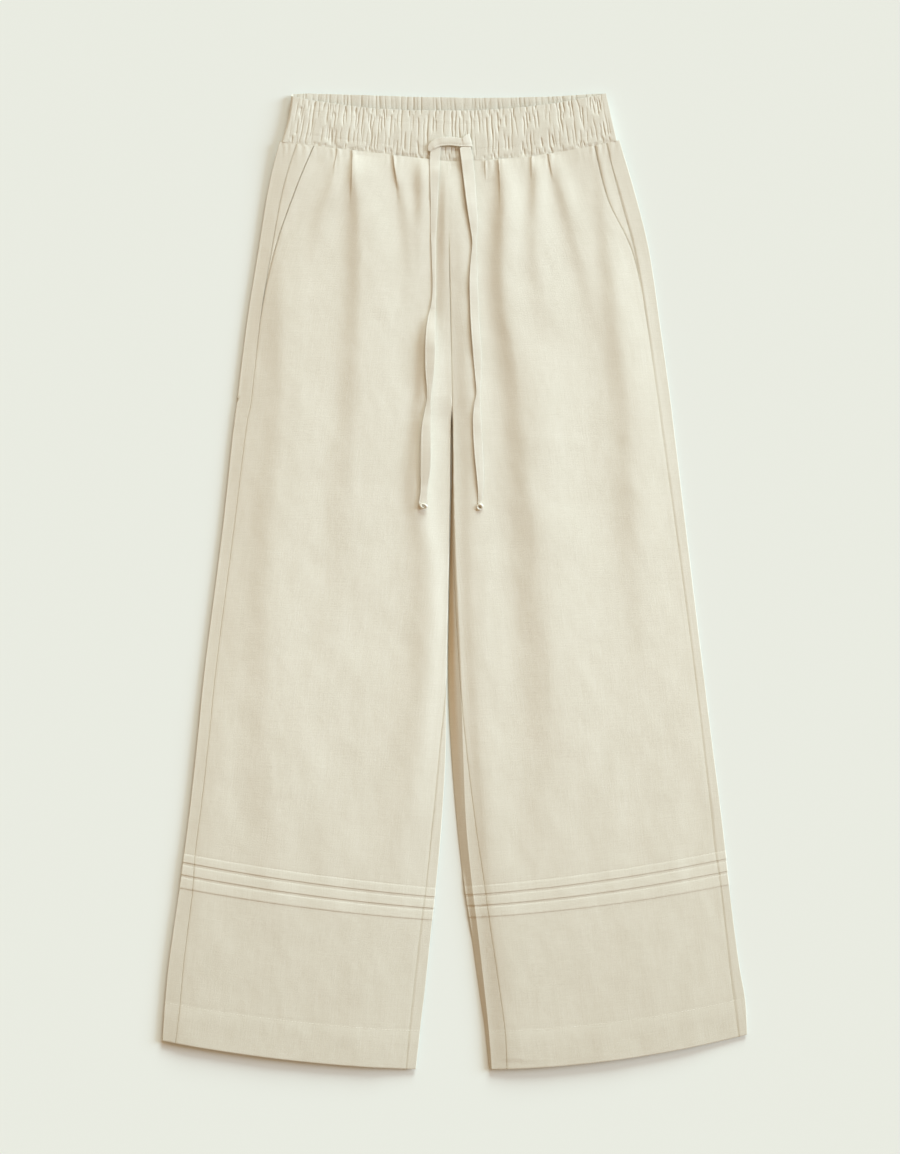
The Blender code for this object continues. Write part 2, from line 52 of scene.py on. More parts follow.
Span = tuple[float, float]
Table = tuple[tuple[float, ...], ...]
LOG = logging.getLogger("culottes")

MM = 0.001
BODY = "root"
GRAIN = "grain"
SHARP_DEGREES = 50.0
UP = np.array([0.0, 0.0, 1.0])

# Cloth and how a leg lies
WALL = 0.45
HALF_WALL = WALL / 2
REST_HEIGHT = 4.9
LOWEST_FRONT = 1.1
CORNER = 0.2
EDGE_START = HALF_WALL + CORNER
EDGE_FALL = 1.4
EDGE_FADE = 14.0
EDGE_CALM = 0.75
PATH_POINTS = 90

# Tucks: places in parts of the distance between two of them, with the cloth's lift there
TUCK_COUNT = 3
TUCK_RISE = 0.8
TUCK_STITCH = 0.23
TUCK_EDGES = (0.0, 0.296, 0.673, 0.978)
TUCK_END = 0.07
TUCK_PROFILE = (
    (0.10, 0.0), (0.19, -0.02), (0.23, -0.08), (0.27, 0.08), (0.36, 0.16), (0.52, 0.24),
    (0.68, 0.30), (0.82, 0.35), (0.92, 0.38), (0.97, 0.38), (1.0, 0.35), (1.01, 0.29),
    (0.995, 0.23), (0.955, 0.20), (0.88, 0.18), (0.83, 0.12), (0.86, 0.05), (0.93, 0.0),
)
STITCH_LIFT = 0.05
TUCK_STITCH_DIP = 0.10
HEM_STITCH_DIP = 0.12

# Hem: the lift below its stitches, and the drop and slide round its edge
HEM_RISE = 0.25
LAYER = 0.5
HEM_START = ((0.0, -0.10), (0.03, 0.0), (0.09, 0.08), (0.16, 0.16))
HEM_NOSE = ((0.04, -0.2), (0.3 * LAYER, 0.1), (0.7 * LAYER, 0.1), (0.96 * LAYER, -0.2))

# Columns: how many more stand near an edge, and how far from it that is felt
BACK_LEAST = 0.3
BACK_DENSITY = ((2.2, 14.0), (14.0, 0.8))
FRONT_DENSITY = ((1.6, 5.0), (7.0, 1.6))
PLEAT_MORE = 8.0
PLEAT_REACH = 3.0
PLEAT_TAIL = 30.0

BAND_WALL = 0.9
BAND_ROWS = (0.23, 0.75)


def smooth_step(value: Any) -> Any:
    """Rise smoothly from 0 to 1 as a number or an array goes from 0 to 1."""
    value = np.clip(value, 0.0, 1.0)
    return value * value * (3.0 - 2.0 * value)


def bell(value: Any) -> Any:
    """Fall smoothly from 1 at 0 to almost 0 at 2 and beyond."""
    return np.exp(-(value**2))


def hermite(part: Any, start: Any, end: Any, leaving: Any, arriving: Any) -> Any:
    """Read a smooth curve between two values.

    Args:
        part: How far along it is read, from 0 to 1.
        start: The first value.
        end: The second value.
        leaving: The slope at the first value.
        arriving: The slope at the second value.

    Returns:
        The curve there.
    """
    square, cube = part**2, part**3
    return (
        (2 * cube - 3 * square + 1) * start
        + (cube - 2 * square + part) * leaving
        + (3 * square - 2 * cube) * end
        + (cube - square) * arriving
    )


def through(values: Sequence[float], place: float) -> float:
    """Read a smooth curve that passes through values at the places 0, 1, 2 and so on.

    Args:
        values: The values.
        place: Where to read it.

    Returns:
        The curve there.
    """
    last = len(values) - 1
    index = min(int(place), last - 1)
    before, start = values[max(index - 1, 0)], values[index]
    end, after = values[index + 1], values[min(index + 2, last)]
    return hermite(place - index, start, end, (end - before) / 2, (after - start) / 2)


def smooth_curve(knots: Array, values: Array, at: Array) -> Array:
    """Read a smooth curve through values at rising knots.

    Args:
        knots: Where the values are.
        values: The values.
        at: Where to read the curve.

    Returns:
        The curve there.
    """
    at = np.clip(at, knots[0], knots[-1])
    index = np.clip(np.searchsorted(knots, at) - 1, 0, len(knots) - 2)
    span = knots[index + 1] - knots[index]
    slope = np.gradient(values, knots)
    slopes = (slope[index] * span, slope[index + 1] * span)
    return hermite((at - knots[index]) / span, values[index], values[index + 1], *slopes)


class Noise:
    """Smooth seeded noise between -1 and 1 over a plane."""

    SIZE = 64

    def __init__(self, seed: int) -> None:
        """Draw the values of the lattice."""
        self.values = np.random.default_rng(seed).uniform(-1, 1, (self.SIZE, self.SIZE))

    def at(self, x: Any, y: Any) -> Any:
        """Read the noise.

        Args:
            x: Places across, in lattice steps.
            y: Places along, in lattice steps.

        Returns:
            The noise there.
        """
        x, y = np.broadcast_arrays(np.asarray(x, float), np.asarray(y, float))
        column, row = np.floor(x).astype(int), np.floor(y).astype(int)
        across, along = smooth_step(x - column), smooth_step(y - row)
        total = np.zeros(x.shape)
        for row_step, row_part in ((0, 1 - along), (1, along)):
            for column_step, column_part in ((0, 1 - across), (1, across)):
                value = self.values[(row + row_step) % self.SIZE, (column + column_step) % self.SIZE]
                total += value * row_part * column_part
        return total


# Nodes and finishes


class NodeMaker:
    """Adds nodes to a shader or geometry tree."""

    def __init__(self, tree: bpy.types.NodeTree) -> None:
        """Keep the tree."""
        self.tree = tree

    def node(self, kind: str, settings: dict | None = None, **inputs: Any) -> bpy.types.Node:
        """Add one node, with its settings first and then its sockets.

        Args:
            kind: The node's type name.
            settings: Attributes to set before the sockets.
            **inputs: Values or links by socket, as feed takes them.

        Returns:
            The new node.
        """
        made = self.tree.nodes.new(kind)
        for name, value in (settings or {}).items():
            setattr(made, name, value)
        for name, value in inputs.items():
            self.feed(made, name, value)
        return made

    def feed(self, node: bpy.types.Node, name: str, value: Any) -> None:
        """Set a socket's value or link it.

        Args:
            node: The node that has the socket.
            name: Its name with _ for a space, or i and its number.
            value: A number, a tuple, an output socket or a Signal.
        """
        numbered = name[0] == "i" and name[1:].isdigit()
        socket = node.inputs[int(name[1:]) if numbered else name.replace("_", " ")]
        value = value.socket if isinstance(value, Signal) else value
        if isinstance(value, bpy.types.NodeSocket):
            self.tree.links.new(value, socket)
        else:
            socket.default_value = value

    def signal(self, kind: str, settings: dict | None = None, **inputs: Any) -> "Signal":
        """Add a node and wrap its first output."""
        return Signal(self, self.node(kind, settings, **inputs).outputs[0])

    def fade(self, value: "Signal", start: float, end: float) -> "Signal":
        """Go from 0 to 1 as a value goes from the start to the end."""
        return self.signal("ShaderNodeMapRange", Value=value, From_Min=start, From_Max=end)

    def vector(self, operation: str, **inputs: Any) -> "Signal":
        """Add a Vector Math node."""
        return self.signal("ShaderNodeVectorMath", {"operation": operation}, **inputs)

    def shaded(self, colour: Any, shade: Colour, amount: "Signal") -> "Signal":
        """Paint shade into a colour by darkening it.

        Args:
            colour: The colour.
            shade: How much red, green and blue it loses at most.
            amount: How much of that it loses, from 0 to 1.

        Returns:
            The darker colour.
        """
        kept = self.vector("SUBTRACT", i0=(1.0, 1.0, 1.0), i1=self.vector("SCALE", i0=shade, Scale=amount))
        return self.vector("MULTIPLY", i0=colour, i1=kept)

    def ramp(self, tone: "Signal", places: Span, colours: tuple[Colour, Colour]) -> bpy.types.NodeSocket:
        """Turn a tone into a colour.

        Args:
            tone: The tone.
            places: The tones of the two colours.
            colours: The two colours.

        Returns:
            The colour.
        """
        ramp = self.node("ShaderNodeValToRGB", Fac=tone)
        for stop, place, colour in zip(ramp.color_ramp.elements, places, colours):
            stop.position = place
            stop.color = (*colour, 1.0)
        return ramp.outputs[0]


@dataclass
class Signal:
    """A number or a colour between shader nodes: Python's operators on it add Math nodes."""

    maker: NodeMaker
    socket: bpy.types.NodeSocket

    def math(self, operation: str, *others: Any) -> "Signal":
        """Add a Math node that takes this signal first."""
        inputs = {f"i{index}": value for index, value in enumerate((self, *others))}
        return self.maker.signal("ShaderNodeMath", {"operation": operation}, **inputs)

    def __add__(self, other: Any) -> "Signal":
        """Add."""
        return self.math("ADD", other)

    def __mul__(self, other: Any) -> "Signal":
        """Multiply."""
        return self.math("MULTIPLY", other)


def new_material(name: str, **values: Any) -> tuple[bpy.types.Material, NodeMaker, bpy.types.Node]:
    """Start a material.

    Args:
        name: Its name.
        **values: Its shader's values, with _ for a space.

    Returns:
        The material, the maker of its nodes and its shader.
    """
    material = bpy.data.materials.new(name)
    material.use_nodes = True
    maker = NodeMaker(material.node_tree)
    shader = material.node_tree.nodes["Principled BSDF"]
    for socket, value in values.items():
        maker.feed(shader, socket, value)
    return material, maker, shader


@dataclass(frozen=True)
class LinenFinish:
    """A woven linen: two colours of yarn, slubs, a weave, a soft matt surface and painted shade.

    Yarns and depths are in millimetres, and the spans of painted shade in metres, fork_across squared.
    The hem's painted shade darkens the cloth towards the hem, for light falling off down the leg.
    The fork's painted shade darkens and browns the cloth where it lies low between the legs, where
    shadow falls.
    """

    name: str
    light: Colour
    dark: Colour
    # Painted shade: how much the colour darkens towards the hem, and low between the legs
    hem_shade: Colour = (0.0, 0.0, 0.0)
    fork_shade: Colour = (0.0, 0.0, 0.0)
    tones: Span = (0.3, 0.7)
    roughness: float = 0.88
    sheen: float = 0.12
    specular: float = 0.25
    thread: float = 0.62
    wander: float = 3.0
    weave_depth: float = 0.03
    slub_depth: float = 0.2
    slub_share: float = 0.5
    cloud_share: float = 0.25
    hem_along: Span = (0.55, 0.93)
    fork_across: Span = (2.0e-4, 1.2e-4)
    fork_along: Span = (-0.26, -0.07)
    fork_height: Span = (0.0048, 0.0030)

    @staticmethod
    def streaks(maker: NodeMaker, cloth: Any, width: float, length: float) -> Signal:
        """Make slubs: noise drawn out along one yarn, by a streak's size in millimetres."""
        place = maker.signal("ShaderNodeMapping", i0=cloth, Scale=(1 / (width * MM), 1 / (length * MM), 1.0))
        return maker.signal("ShaderNodeTexNoise", Vector=place, Scale=1.0, Detail=2.0)

    def wave(self, place: Signal, wander: Signal) -> Signal:
        """Make the rounded tops of yarns, from the distance across them and their wander."""
        return (place * (math.tau / (self.thread * MM)) + wander * self.wander).math("SINE")

    def build(self) -> bpy.types.Material:
        """Make the material.

        Returns:
            The new material.
        """
        material, maker, shader = new_material(
            self.name,
            Roughness=self.roughness,
            Sheen_Weight=self.sheen,
            Specular_IOR_Level=self.specular,
        )
        cloth = maker.node("ShaderNodeUVMap", {"uv_map": GRAIN}).outputs[0]
        axes = maker.node("ShaderNodeSeparateXYZ", Vector=cloth)
        across, along = (Signal(maker, axes.outputs[k]) for k in (0, 1))
        sizes = ((26.0, 1.3), (1.4, 34.0), (7.0, 0.7), (34.0, 48.0))
        weft, warp, yarn, cloud = (self.streaks(maker, cloth, *size) for size in sizes)
        slubs = weft * 0.35 + warp * 0.4 + yarn * 0.25
        middle = 0.5 * (1 - self.slub_share - self.cloud_share)
        tone = slubs * self.slub_share + cloud * self.cloud_share + middle
        colour = maker.ramp(tone, self.tones, (self.dark, self.light))
        # Painted shade: darker towards the hem, for light falling off down the leg
        colour = maker.shaded(colour, self.hem_shade, maker.fade(along, *self.hem_along))
        # Painted shade: darker and browner where the cloth lies low between the legs, where shadow falls
        place = maker.node("ShaderNodeTexCoord").outputs["Object"]
        x, y, z = (Signal(maker, axis) for axis in maker.node("ShaderNodeSeparateXYZ", Vector=place).outputs)
        painted_fork_shade_mask = maker.fade(x * x, *self.fork_across) * maker.fade(y, *self.fork_along)
        painted_fork_shade_mask = painted_fork_shade_mask * maker.fade(z, *self.fork_height)
        colour = maker.shaded(colour, self.fork_shade, painted_fork_shade_mask)
        maker.feed(shader, "Base_Color", colour)
        weave = self.wave(across, weft) * self.wave(along, warp)
        height = weave * self.weave_depth + slubs * self.slub_depth
        bump = maker.signal("ShaderNodeBump", Strength=1.0, Distance=MM, Height=height)
        maker.feed(shader, "Normal", bump)
        return material


LINEN = LinenFinish(
    "linen",
    light=(0.785, 0.742, 0.632),
    dark=(0.685, 0.636, 0.52),
    # Painted shade: darker towards the hem
    hem_shade=(0.14, 0.155, 0.18),
    # Painted shade: darker and browner low between the legs, where shadow falls
    fork_shade=(0.13, 0.30, 0.48),
)
BAND = LinenFinish("gathered_linen", light=(0.755, 0.71, 0.60), dark=(0.665, 0.618, 0.505))
TAPE = LinenFinish("linen_tape", light=(0.78, 0.737, 0.632), dark=(0.70, 0.653, 0.54))


# Meshes


def add_object(name: str, data: Any) -> bpy.types.Object:
    """Put a new object in the scene.

    Args:
        name: Its name.
        data: Its mesh, lamp or camera.

    Returns:
        The object.
    """
    made = bpy.data.objects.new(name, data)
    bpy.context.scene.collection.objects.link(made)
    return made


@dataclass
class ClothGrid:
    """Rows and columns of points with their cloth coordinates, which become a mesh."""

    name: str
    points: Array
    grain: Array
    flip: bool = False
    round_columns: bool = False
    round_rows: bool = False

    def mesh(self) -> bpy.types.Mesh:
        """Make the grid's mesh, with the cloth coordinates as its UV map.

        Returns:
            The mesh, in metres.
        """
        rows, columns = self.points.shape[:2]
        row = np.arange(rows if self.round_rows else rows - 1)[:, None]
        column = np.arange(columns if self.round_columns else columns - 1)[None, :]
        corners = [(row, column), (row + 1, column), (row + 1, column + 1), (row, column + 1)]
        if self.flip:
            corners.reverse()
        quads = np.stack([(r % rows) * columns + c % columns for r, c in corners], axis=-1)
        grain = np.stack([self.grain[r, c] for r, c in corners], axis=-2)
        mesh = bpy.data.meshes.new(self.name)
        mesh.from_pydata((self.points.reshape(-1, 3) * MM).tolist(), [], quads.reshape(-1, 4).tolist())
        layer = mesh.uv_layers.new(name=GRAIN)
        layer.data.foreach_set("uv", (grain.reshape(-1) * MM).astype(np.float32))
        return mesh


def plain_mesh(piece: bpy.types.Object) -> bpy.types.Mesh:
    """Turn what an object's modifiers make into a plain mesh, and remove the object.

    Args:
        piece: The object with its modifiers.

    Returns:
        The plain mesh.
    """
    graph = bpy.context.evaluated_depsgraph_get()
    mesh = bpy.data.meshes.new_from_object(piece.evaluated_get(graph))
    mesh.name = piece.name
    bpy.data.objects.remove(piece)
    return mesh


def shell(grid: ClothGrid) -> bpy.types.Mesh:
    """Give the grid of a cloth's middle the cloth's thickness.

    Args:
        grid: The grid.

    Returns:
        The closed mesh.
    """
    piece = add_object(grid.name, grid.mesh())
    solidify = piece.modifiers.new("cloth thickness", "SOLIDIFY")
    solidify.thickness = WALL * MM
    solidify.offset = 0.0
    return plain_mesh(piece)


@dataclass(frozen=True)
class Cut:
    """The flat size that a piece of cloth is cut to, in metres and square metres."""

    width: float
    length: float
    area: float
    held: str = "laid"

    def declare(self, piece: bpy.types.Object) -> None:
        """Read the cut's width and nothing more; the piece is not declared."""
        self.width


FRONT_CUT = Cut(0.29, 1.06, 0.235)
BACK_CUT = Cut(0.31, 1.09, 0.27)
POCKET_CUT = Cut(0.032, 0.13, 0.0034)
BAND_CUT = Cut(0.94, 0.05, 0.047, held="gathered")


@dataclass(frozen=True)
class Dress:
    """What a piece wears: its finish. The record's material slot is kept here but not given to the piece."""

    finish: bpy.types.Material
    slot: str

    def piece(self, name: str, mesh: bpy.types.Mesh, *nodes: str) -> bpy.types.Object:
        """Make a piece, smooth and with its sharp edges marked, that rides on the part.

        Args:
            name: Its name.
            mesh: Its mesh in metres.
            *nodes: The nodes of the part that it stands for.

        Returns:
            The piece.
        """
        mesh.shade_smooth()
        mesh.set_sharp_from_angle(angle=math.radians(SHARP_DEGREES))
        mesh.materials.clear()
        mesh.materials.append(self.finish)
        piece = add_object(name, mesh)
        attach(piece, BODY)
        if nodes:
            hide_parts(*nodes)
        faces = sum(len(polygon.vertices) - 2 for polygon in mesh.polygons)
        LOG.info("%s: %d triangles", name, faces)
        return piece


# Shape of the legs


@dataclass(frozen=True)
class Section:
    """One row across a leg, in millimetres, as the pattern states it.

    closed is 0 where the legs are one and 1 where each is closed at its inner edge.
    """

    name: str
    out_x: float
    out_y: float
    in_x: float
    in_y: float
    bow: float
    back_rise: float
    side: float
    mouth: float
    inseam: float
    loft: float
    outer_top: float
    inner_top: float
    foot: float
    closed: float = 0.0

    @property
    def width(self) -> float:
        """Give how wide the row lies."""
        return abs(self.in_x - self.out_x)

    def place(self, across: Any, back: Any) -> tuple[Any, Any]:
        """Place points of the row.

        Args:
            across: Distances from the outer edge.
            back: 0 on the front and 1 on the back.

        Returns:
            Their x and y.
        """
        part = across / self.width
        rise = self.in_y + self.back_rise * back - self.out_y
        bow = self.bow * (1 - back * (1 - self.closed))
        x = self.out_x + (self.in_x - self.out_x) * part
        return x, self.out_y + rise * part - 4 * bow * part * (1 - part)


RIGHT_LEG = [
    Section("waist", -180.5, 452, -7.2, 431.5, 0, 17, 17.3, 36, -3.8, 1.0, 6.2, 4.4, 0),
    Section("upper hip", -192, 404, -6.8, 391, 0, 11, 14.5, 28.5, -3.8, 2.2, 4.4, 4.4, 0),
    Section("hip", -203.5, 334, -6.2, 330, 0, 4, 13.4, 16.5, -3.8, 2.0, 3.5, 4.4, 0),
    Section("seat", -214, 268, -4.8, 268, 0, 0, 13.4, 13.4, -3.8, 1.7, 3.2, 4.4, 0),
    Section("crotch", -224, 189, -3.2, 189, 0, 0, 14.4, 14.4, -3.8, 1.5, 3.1, 4.4, 0),
    Section("fork", -228.5, 154, -4.6, 153, 0, 0, 12.8, 12.8, -3.8, 1.5, 3.1, 4.6, 0),
    Section("thigh", -240, 48, -6, 45, 0, 0, 11.2, 11.2, -3.4, 1.4, 3.2, 5.0, 0),
    Section("knee", -257, -84, -8.8, -92, 0, 0, 11.2, 11.2, -0.6, 1.3, 3.3, 5.0, 0),
    Section("calf", -264.5, -157, -9.5, -170, 1, 0, 11.2, 11.2, 6.0, 1.2, 3.8, 4.6, 0),
    Section("shin", -272, -226, -13.7, -248, 2, 0, 11, 11, 9.3, 1.2, 3.8, 4.2, 0),
    Section("tuck top", -278.5, -277, -19.5, -312, 3, 0, 10.8, 10.8, 10, 1.1, 3.8, 3.4, 0),
    Section("tuck base", -283.5, -316, -23.5, -349, 3.5, 0, 13, 13, 11, 1.1, 4.0, 3.4, 0),
    Section("cuff", -294, -388, -30, -411, 4, 0, 14.8, 14.8, 11.6, 1.2, 4.0, 3.2, 0),
    Section("hem stitch", -298.5, -433, -36, -462.5, 4.5, 0, 15.1, 15.1, 11, 1.3, 4.0, 3.2, 0),
    Section("hem edge", -301, -472, -40.5, -501.5, 5, 0, 13.2, 13.2, 9.8, 1.4, 4.0, 3.2, 0),
]
LEFT_LEG = [
    Section("waist", 169, 453.5, -7.2, 431.5, 5, 17, 14, 26, -3.8, 1.0, 6.2, 6.0, 0),
    Section("upper hip", 186, 396, -6.8, 386, 4, 11, 16.5, 29, -3.8, 2.2, 4.4, 6.0, 0),
    Section("hip", 200, 339, -6.2, 333, 2, 4, 15.2, 17.5, -3.8, 2.0, 3.0, 6.0, 0),
    Section("seat", 210.5, 268, -4.8, 268, 0, 0, 13.6, 13.6, -3.8, 1.7, 2.4, 6.0, 0),
    Section("crotch", 221.5, 189, -3.2, 189, 0, 0, 13.3, 13.3, -3.8, 1.5, 2.4, 6.0, 0),
    Section("fork", 225.5, 156, -2.1, 153, 0, 0, 12.9, 12.9, -3.8, 1.5, 2.4, 6.4, 0),
    Section("thigh", 238.5, 48, -0.6, 45, 0, 0, 10.8, 10.8, -3.8, 1.4, 2.4, 6.8, 4.4),
    Section("knee", 254.5, -84, 5.5, -92, 0, 0, 9.3, 9.3, -2, 1.3, 2.4, 6.4, 12.6),
    Section("calf", 263.5, -157, 7.8, -170, 1, 0, 9.6, 9.6, 2.8, 1.2, 2.4, 5.6, 12),
    Section("shin", 272.3, -226, 11.2, -250, 2, 0, 10.3, 10.3, 9, 1.2, 2.4, 4.9, 9),
    Section("tuck top", 278, -274, 17, -310, 4, 0, 10.8, 10.8, 12, 1.1, 2.4, 4.6, 8),
    Section("tuck base", 282, -313, 21.5, -346, 4.5, 0, 9, 9, 12.3, 1.1, 2.4, 4.6, 7),
    Section("cuff", 291.5, -388, 29, -411, 6, 0, 10, 10, 14.5, 1.2, 2.4, 4.4, 5.5),
    Section("hem stitch", 298.5, -429, 34.5, -462.5, 7, 0, 11.8, 11.8, 16, 1.3, 2.4, 4.4, 3.5),
    Section("hem edge", 300.5, -466, 37.5, -501.5, 7.5, 0, 8.7, 8.7, 14.8, 1.4, 2.4, 4.2, 2),
]

NAMES = [section.name for section in RIGHT_LEG]
CROTCH, TUCK_TOP, TUCK_BASE, HEM_STITCH, LAST = (
    NAMES.index(name) for name in ("crotch", "tuck top", "tuck base", "hem stitch", "hem edge")
)
NUMBERS = [item.name for item in fields(Section)][1:]


class Side(Enum):
    """Which leg of the wearer."""

    RIGHT = "right"
    LEFT = "left"


def tuck_place(count: float) -> float:
    """Give the place down a leg that is a number of tucks below the first one's start."""
    return TUCK_TOP + float(np.interp(count, range(TUCK_COUNT + 1), TUCK_EDGES))


@dataclass(frozen=True)
class Fold:
    """A soft fold or a sharp pleat of the front, by its crests from the top down.

    Each crest has its y and x, its height, and how wide it is to the left and to the right.
    """

    crests: Table
    pleat: bool = False

    def at(self, x: Array, y: Array) -> Array:
        """Give the height that the fold adds at points.

        Args:
            x: Places across.
            y: Places up the garment.

        Returns:
            The added height.
        """
        knots, *tables = np.array(self.crests[::-1], float).T
        if np.max(y) < knots[0] or np.min(y) > knots[-1]:
            return np.zeros(np.shape(x))
        centre, height, left, right = (smooth_curve(knots, table, y) for table in tables)
        height = np.where((y < knots[0]) | (y > knots[-1]), 0.0, np.maximum(height, 0.0))
        away = (x - centre) / np.maximum(np.where(x < centre, left, right), 0.3)
        if self.pleat:
            return height * np.where(away < 0, np.clip(1 + away, 0, 1), np.exp(-np.maximum(away, 0)))
        return height * bell(away)


# Broad folds that fall from the gathers: steep to the left and long to the right
FOLDS = {
    "right thigh": (
        (438, -101, 0, 7, 20), (420, -101, 2.0, 8, 24), (393, -98, 3.1, 10, 28), (300, -96, 3.5, 14, 38),
        (187, -98, 3.2, 18, 45), (63, -105, 1.9, 22, 45), (-60, -112, 0.6, 26, 45),
        (-180, -118, 0, 26, 45),
    ),
    "right front": (
        (430, -59, 0, 5, 9), (393, -52, 1.1, 6, 10), (331, -45, 0.8, 8, 12), (275, -43, 0, 8, 12),
    ),
    "right tie": (
        (436, -34, 0, 5, 14), (424, -34, 1.9, 6, 14), (390, -34, 2.3, 6, 14), (355, -34.5, 1.3, 7, 14),
        (310, -35, 0, 8, 14),
    ),
    "centre seam": (
        (433, -9.5, 0, 7, 14), (415, -9.5, 1.5, 7, 14), (300, -10.5, 1.3, 7, 14), (200, -11, 0, 7, 14),
    ),
    "right hip": (
        (436, -122, 0, 6, 14), (421, -123, 1, 6, 14), (372, -136, 1.2, 9, 18), (326, -144, 0, 10, 18),
    ),
    "right outer": (
        (362, -173, 0, 12, 40), (290, -175, 2, 16, 55), (166, -176, 2.7, 18, 60), (22, -187, 2.9, 20, 60),
        (-102, -190, 2.5, 21, 60), (-277, -182, 1.3, 24, 60), (-441, -174, 0, 24, 60),
    ),
    "right inner": (
        (276, -28, 0, 5, 12), (256, -30, 2.4, 5, 13), (222, -31, 3.4, 7, 15), (186, -33, 2.8, 7, 16),
        (144, -36, 3.5, 10, 16), (100, -38, 3.4, 12, 16), (60, -32, 2.8, 14, 16), (22, -24, 3.1, 19, 14),
        (-60, -23, 3.1, 19, 14), (-163, -34, 2.2, 20, 18), (-277, -48, 0.6, 20, 24),
        (-350, -50, 0, 20, 24),
    ),
    "left front": (
        (434, 50, 0, 6, 12), (396, 52, 3.8, 9, 17), (300, 51, 4.5, 13, 24), (218, 65, 4.3, 16, 32),
        (104, 79, 4.4, 21, 42), (-19, 92, 3.8, 23, 45), (-143, 103, 2.1, 26, 45), (-277, 92, 1, 24, 40),
        (-441, 70, 0, 22, 40),
    ),
    "left inner": (
        (426, 2, 0, 10, 16), (393, 6, 1.7, 12, 20), (290, 11, 2.3, 13, 22), (187, 15, 2.3, 12, 24),
        (-19, 18, 2.2, 10, 28), (-225, 30, 1.7, 10, 28), (-431, 49, 1, 10, 26), (-493, 55, 0.5, 10, 26),
    ),
    "left thigh": (
        (436, 84, 0, 6, 10), (424, 84, 1.3, 6, 10), (352, 84, 1.4, 9, 14), (298, 85, 0, 9, 14),
    ),
    "left hip": (
        (420, 80, 0, 14, 22), (372, 84, 0.8, 16, 24), (331, 88, 2.0, 18, 26), (290, 93, 2.8, 22, 28),
        (238, 100, 2.0, 24, 30), (187, 100, 1.6, 26, 32), (130, 105, 0.6, 26, 32), (80, 108, 0, 26, 32),
    ),
    "left slant": (
        (438, 103, 0, 6, 12), (422, 106, 1, 6, 12), (352, 126, 1.3, 9, 16), (269, 147, 0.8, 12, 22),
        (226, 155, 0, 14, 24),
    ),
    "left outer": (
        (429, 153, 0, 8, 16), (393, 153, 1, 8, 16), (300, 166, 2.9, 14, 24), (240, 174, 3.0, 15, 26),
        (187, 180, 2.8, 15, 30), (84, 186, 2.0, 16, 30), (-40, 194, 1.1, 18, 30), (-112, 198, 0, 18, 30),
    ),
}

# Sharp pleats that the gathers start at the waist seam
PLEATS = {
    "right hip": (
        (456, -121.5, 0.5, 0.5, 7), (440, -121.5, 0.8, 0.5, 7), (430, -123.5, 0.6, 0.6, 8),
        (418, -125, 0, 0.8, 8),
    ),
    "right thigh": (
        (456, -105.5, 0.7, 0.5, 16), (442, -105.5, 1.1, 0.5, 18), (431, -105.5, 1.7, 0.5, 20),
        (420, -106, 1.7, 0.5, 20), (404, -106.5, 0.7, 0.8, 20), (388, -107, 0, 1.2, 20),
    ),
    "right front": (
        (456, -63.5, 0.6, 0.5, 14), (438, -63.5, 1.0, 0.5, 15), (427, -62.5, 1.5, 0.5, 16),
        (415, -60.6, 1.5, 0.6, 16), (400, -58.5, 0.5, 0.9, 16), (380, -57, 0, 1.2, 16),
    ),
    "left tie": (
        (456, 31, 0.5, 0.5, 7), (436, 31, 0.8, 0.5, 7), (426, 31, 0.8, 0.6, 8), (410, 31.5, 0, 0.8, 8),
    ),
    "left front": (
        (456, 44.5, 0.6, 0.5, 16), (440, 44.5, 1.0, 0.5, 17), (429, 44.8, 1.6, 0.5, 18),
        (418, 45.5, 1.6, 0.6, 18), (400, 46, 0.6, 0.9, 18), (380, 46, 0, 1.2, 18),
    ),
    "left thigh": (
        (456, 78.5, 0.5, 0.5, 8), (437, 78.5, 0.8, 0.5, 8), (427, 78.5, 0.8, 0.6, 9),
        (412, 78.5, 0, 0.8, 9),
    ),
    "left slant": (
        (456, 96, 0.5, 0.5, 8), (437, 96, 0.8, 0.5, 8), (426, 98, 0.7, 0.6, 9), (408, 101, 0, 0.8, 9),
    ),
}


@dataclass
class Drape:
    """All the fine relief of the cloth over its laid shape."""

    crumple: float = 0.30
    pucker: float = 0.6
    pucker_pitch: float = 7.0
    pucker_reach: float = 7.0
    pucker_start: float = 1.5
    seam_puff: float = 0.6
    seam_puff_reach: float = 18.0
    seed: int = 11

    def __post_init__(self) -> None:
        """Draw the noise and take up the folds."""
        self.noise = Noise(self.seed)
        self.pleats = [Fold(crests, pleat=True) for crests in PLEATS.values()]
        self.folds = [Fold(crests) for crests in FOLDS.values()] + self.pleats

    def height(self, x: Array, y: Array, below_seam: Array) -> Array:
        """Give the relief at points of the front.

        Args:
            x: Places across.
            y: Places up the garment.
            below_seam: Distances down from the waist seam.

        Returns:
            The relief in millimetres.
        """
        read = self.noise.at
        total = sum(fold.at(x, y) for fold in self.folds)
        crumple = read(x / 31, y / 47) + 0.5 * read(x / 13 + 7.3, y / 21 + 3.1)
        total = total + self.crumple * (crumple + 0.2 * read(x / 5.5 + 2.3, y / 9 + 5.1))
        wander = 2.2 * read(x / 17 + 1.7, y / 60 + 9.0)
        ridge = np.cos(math.tau * (x + wander) / self.pucker_pitch)
        uneven = 0.65 + 0.35 * read(x / 9 + 4.4, 0 * x)
        near = np.exp(-below_seam / self.pucker_reach) - np.exp(-below_seam / self.pucker_start)
        puff = self.seam_puff * bell(below_seam / self.seam_puff_reach)
        return total + self.pucker * ridge * uneven * near + puff


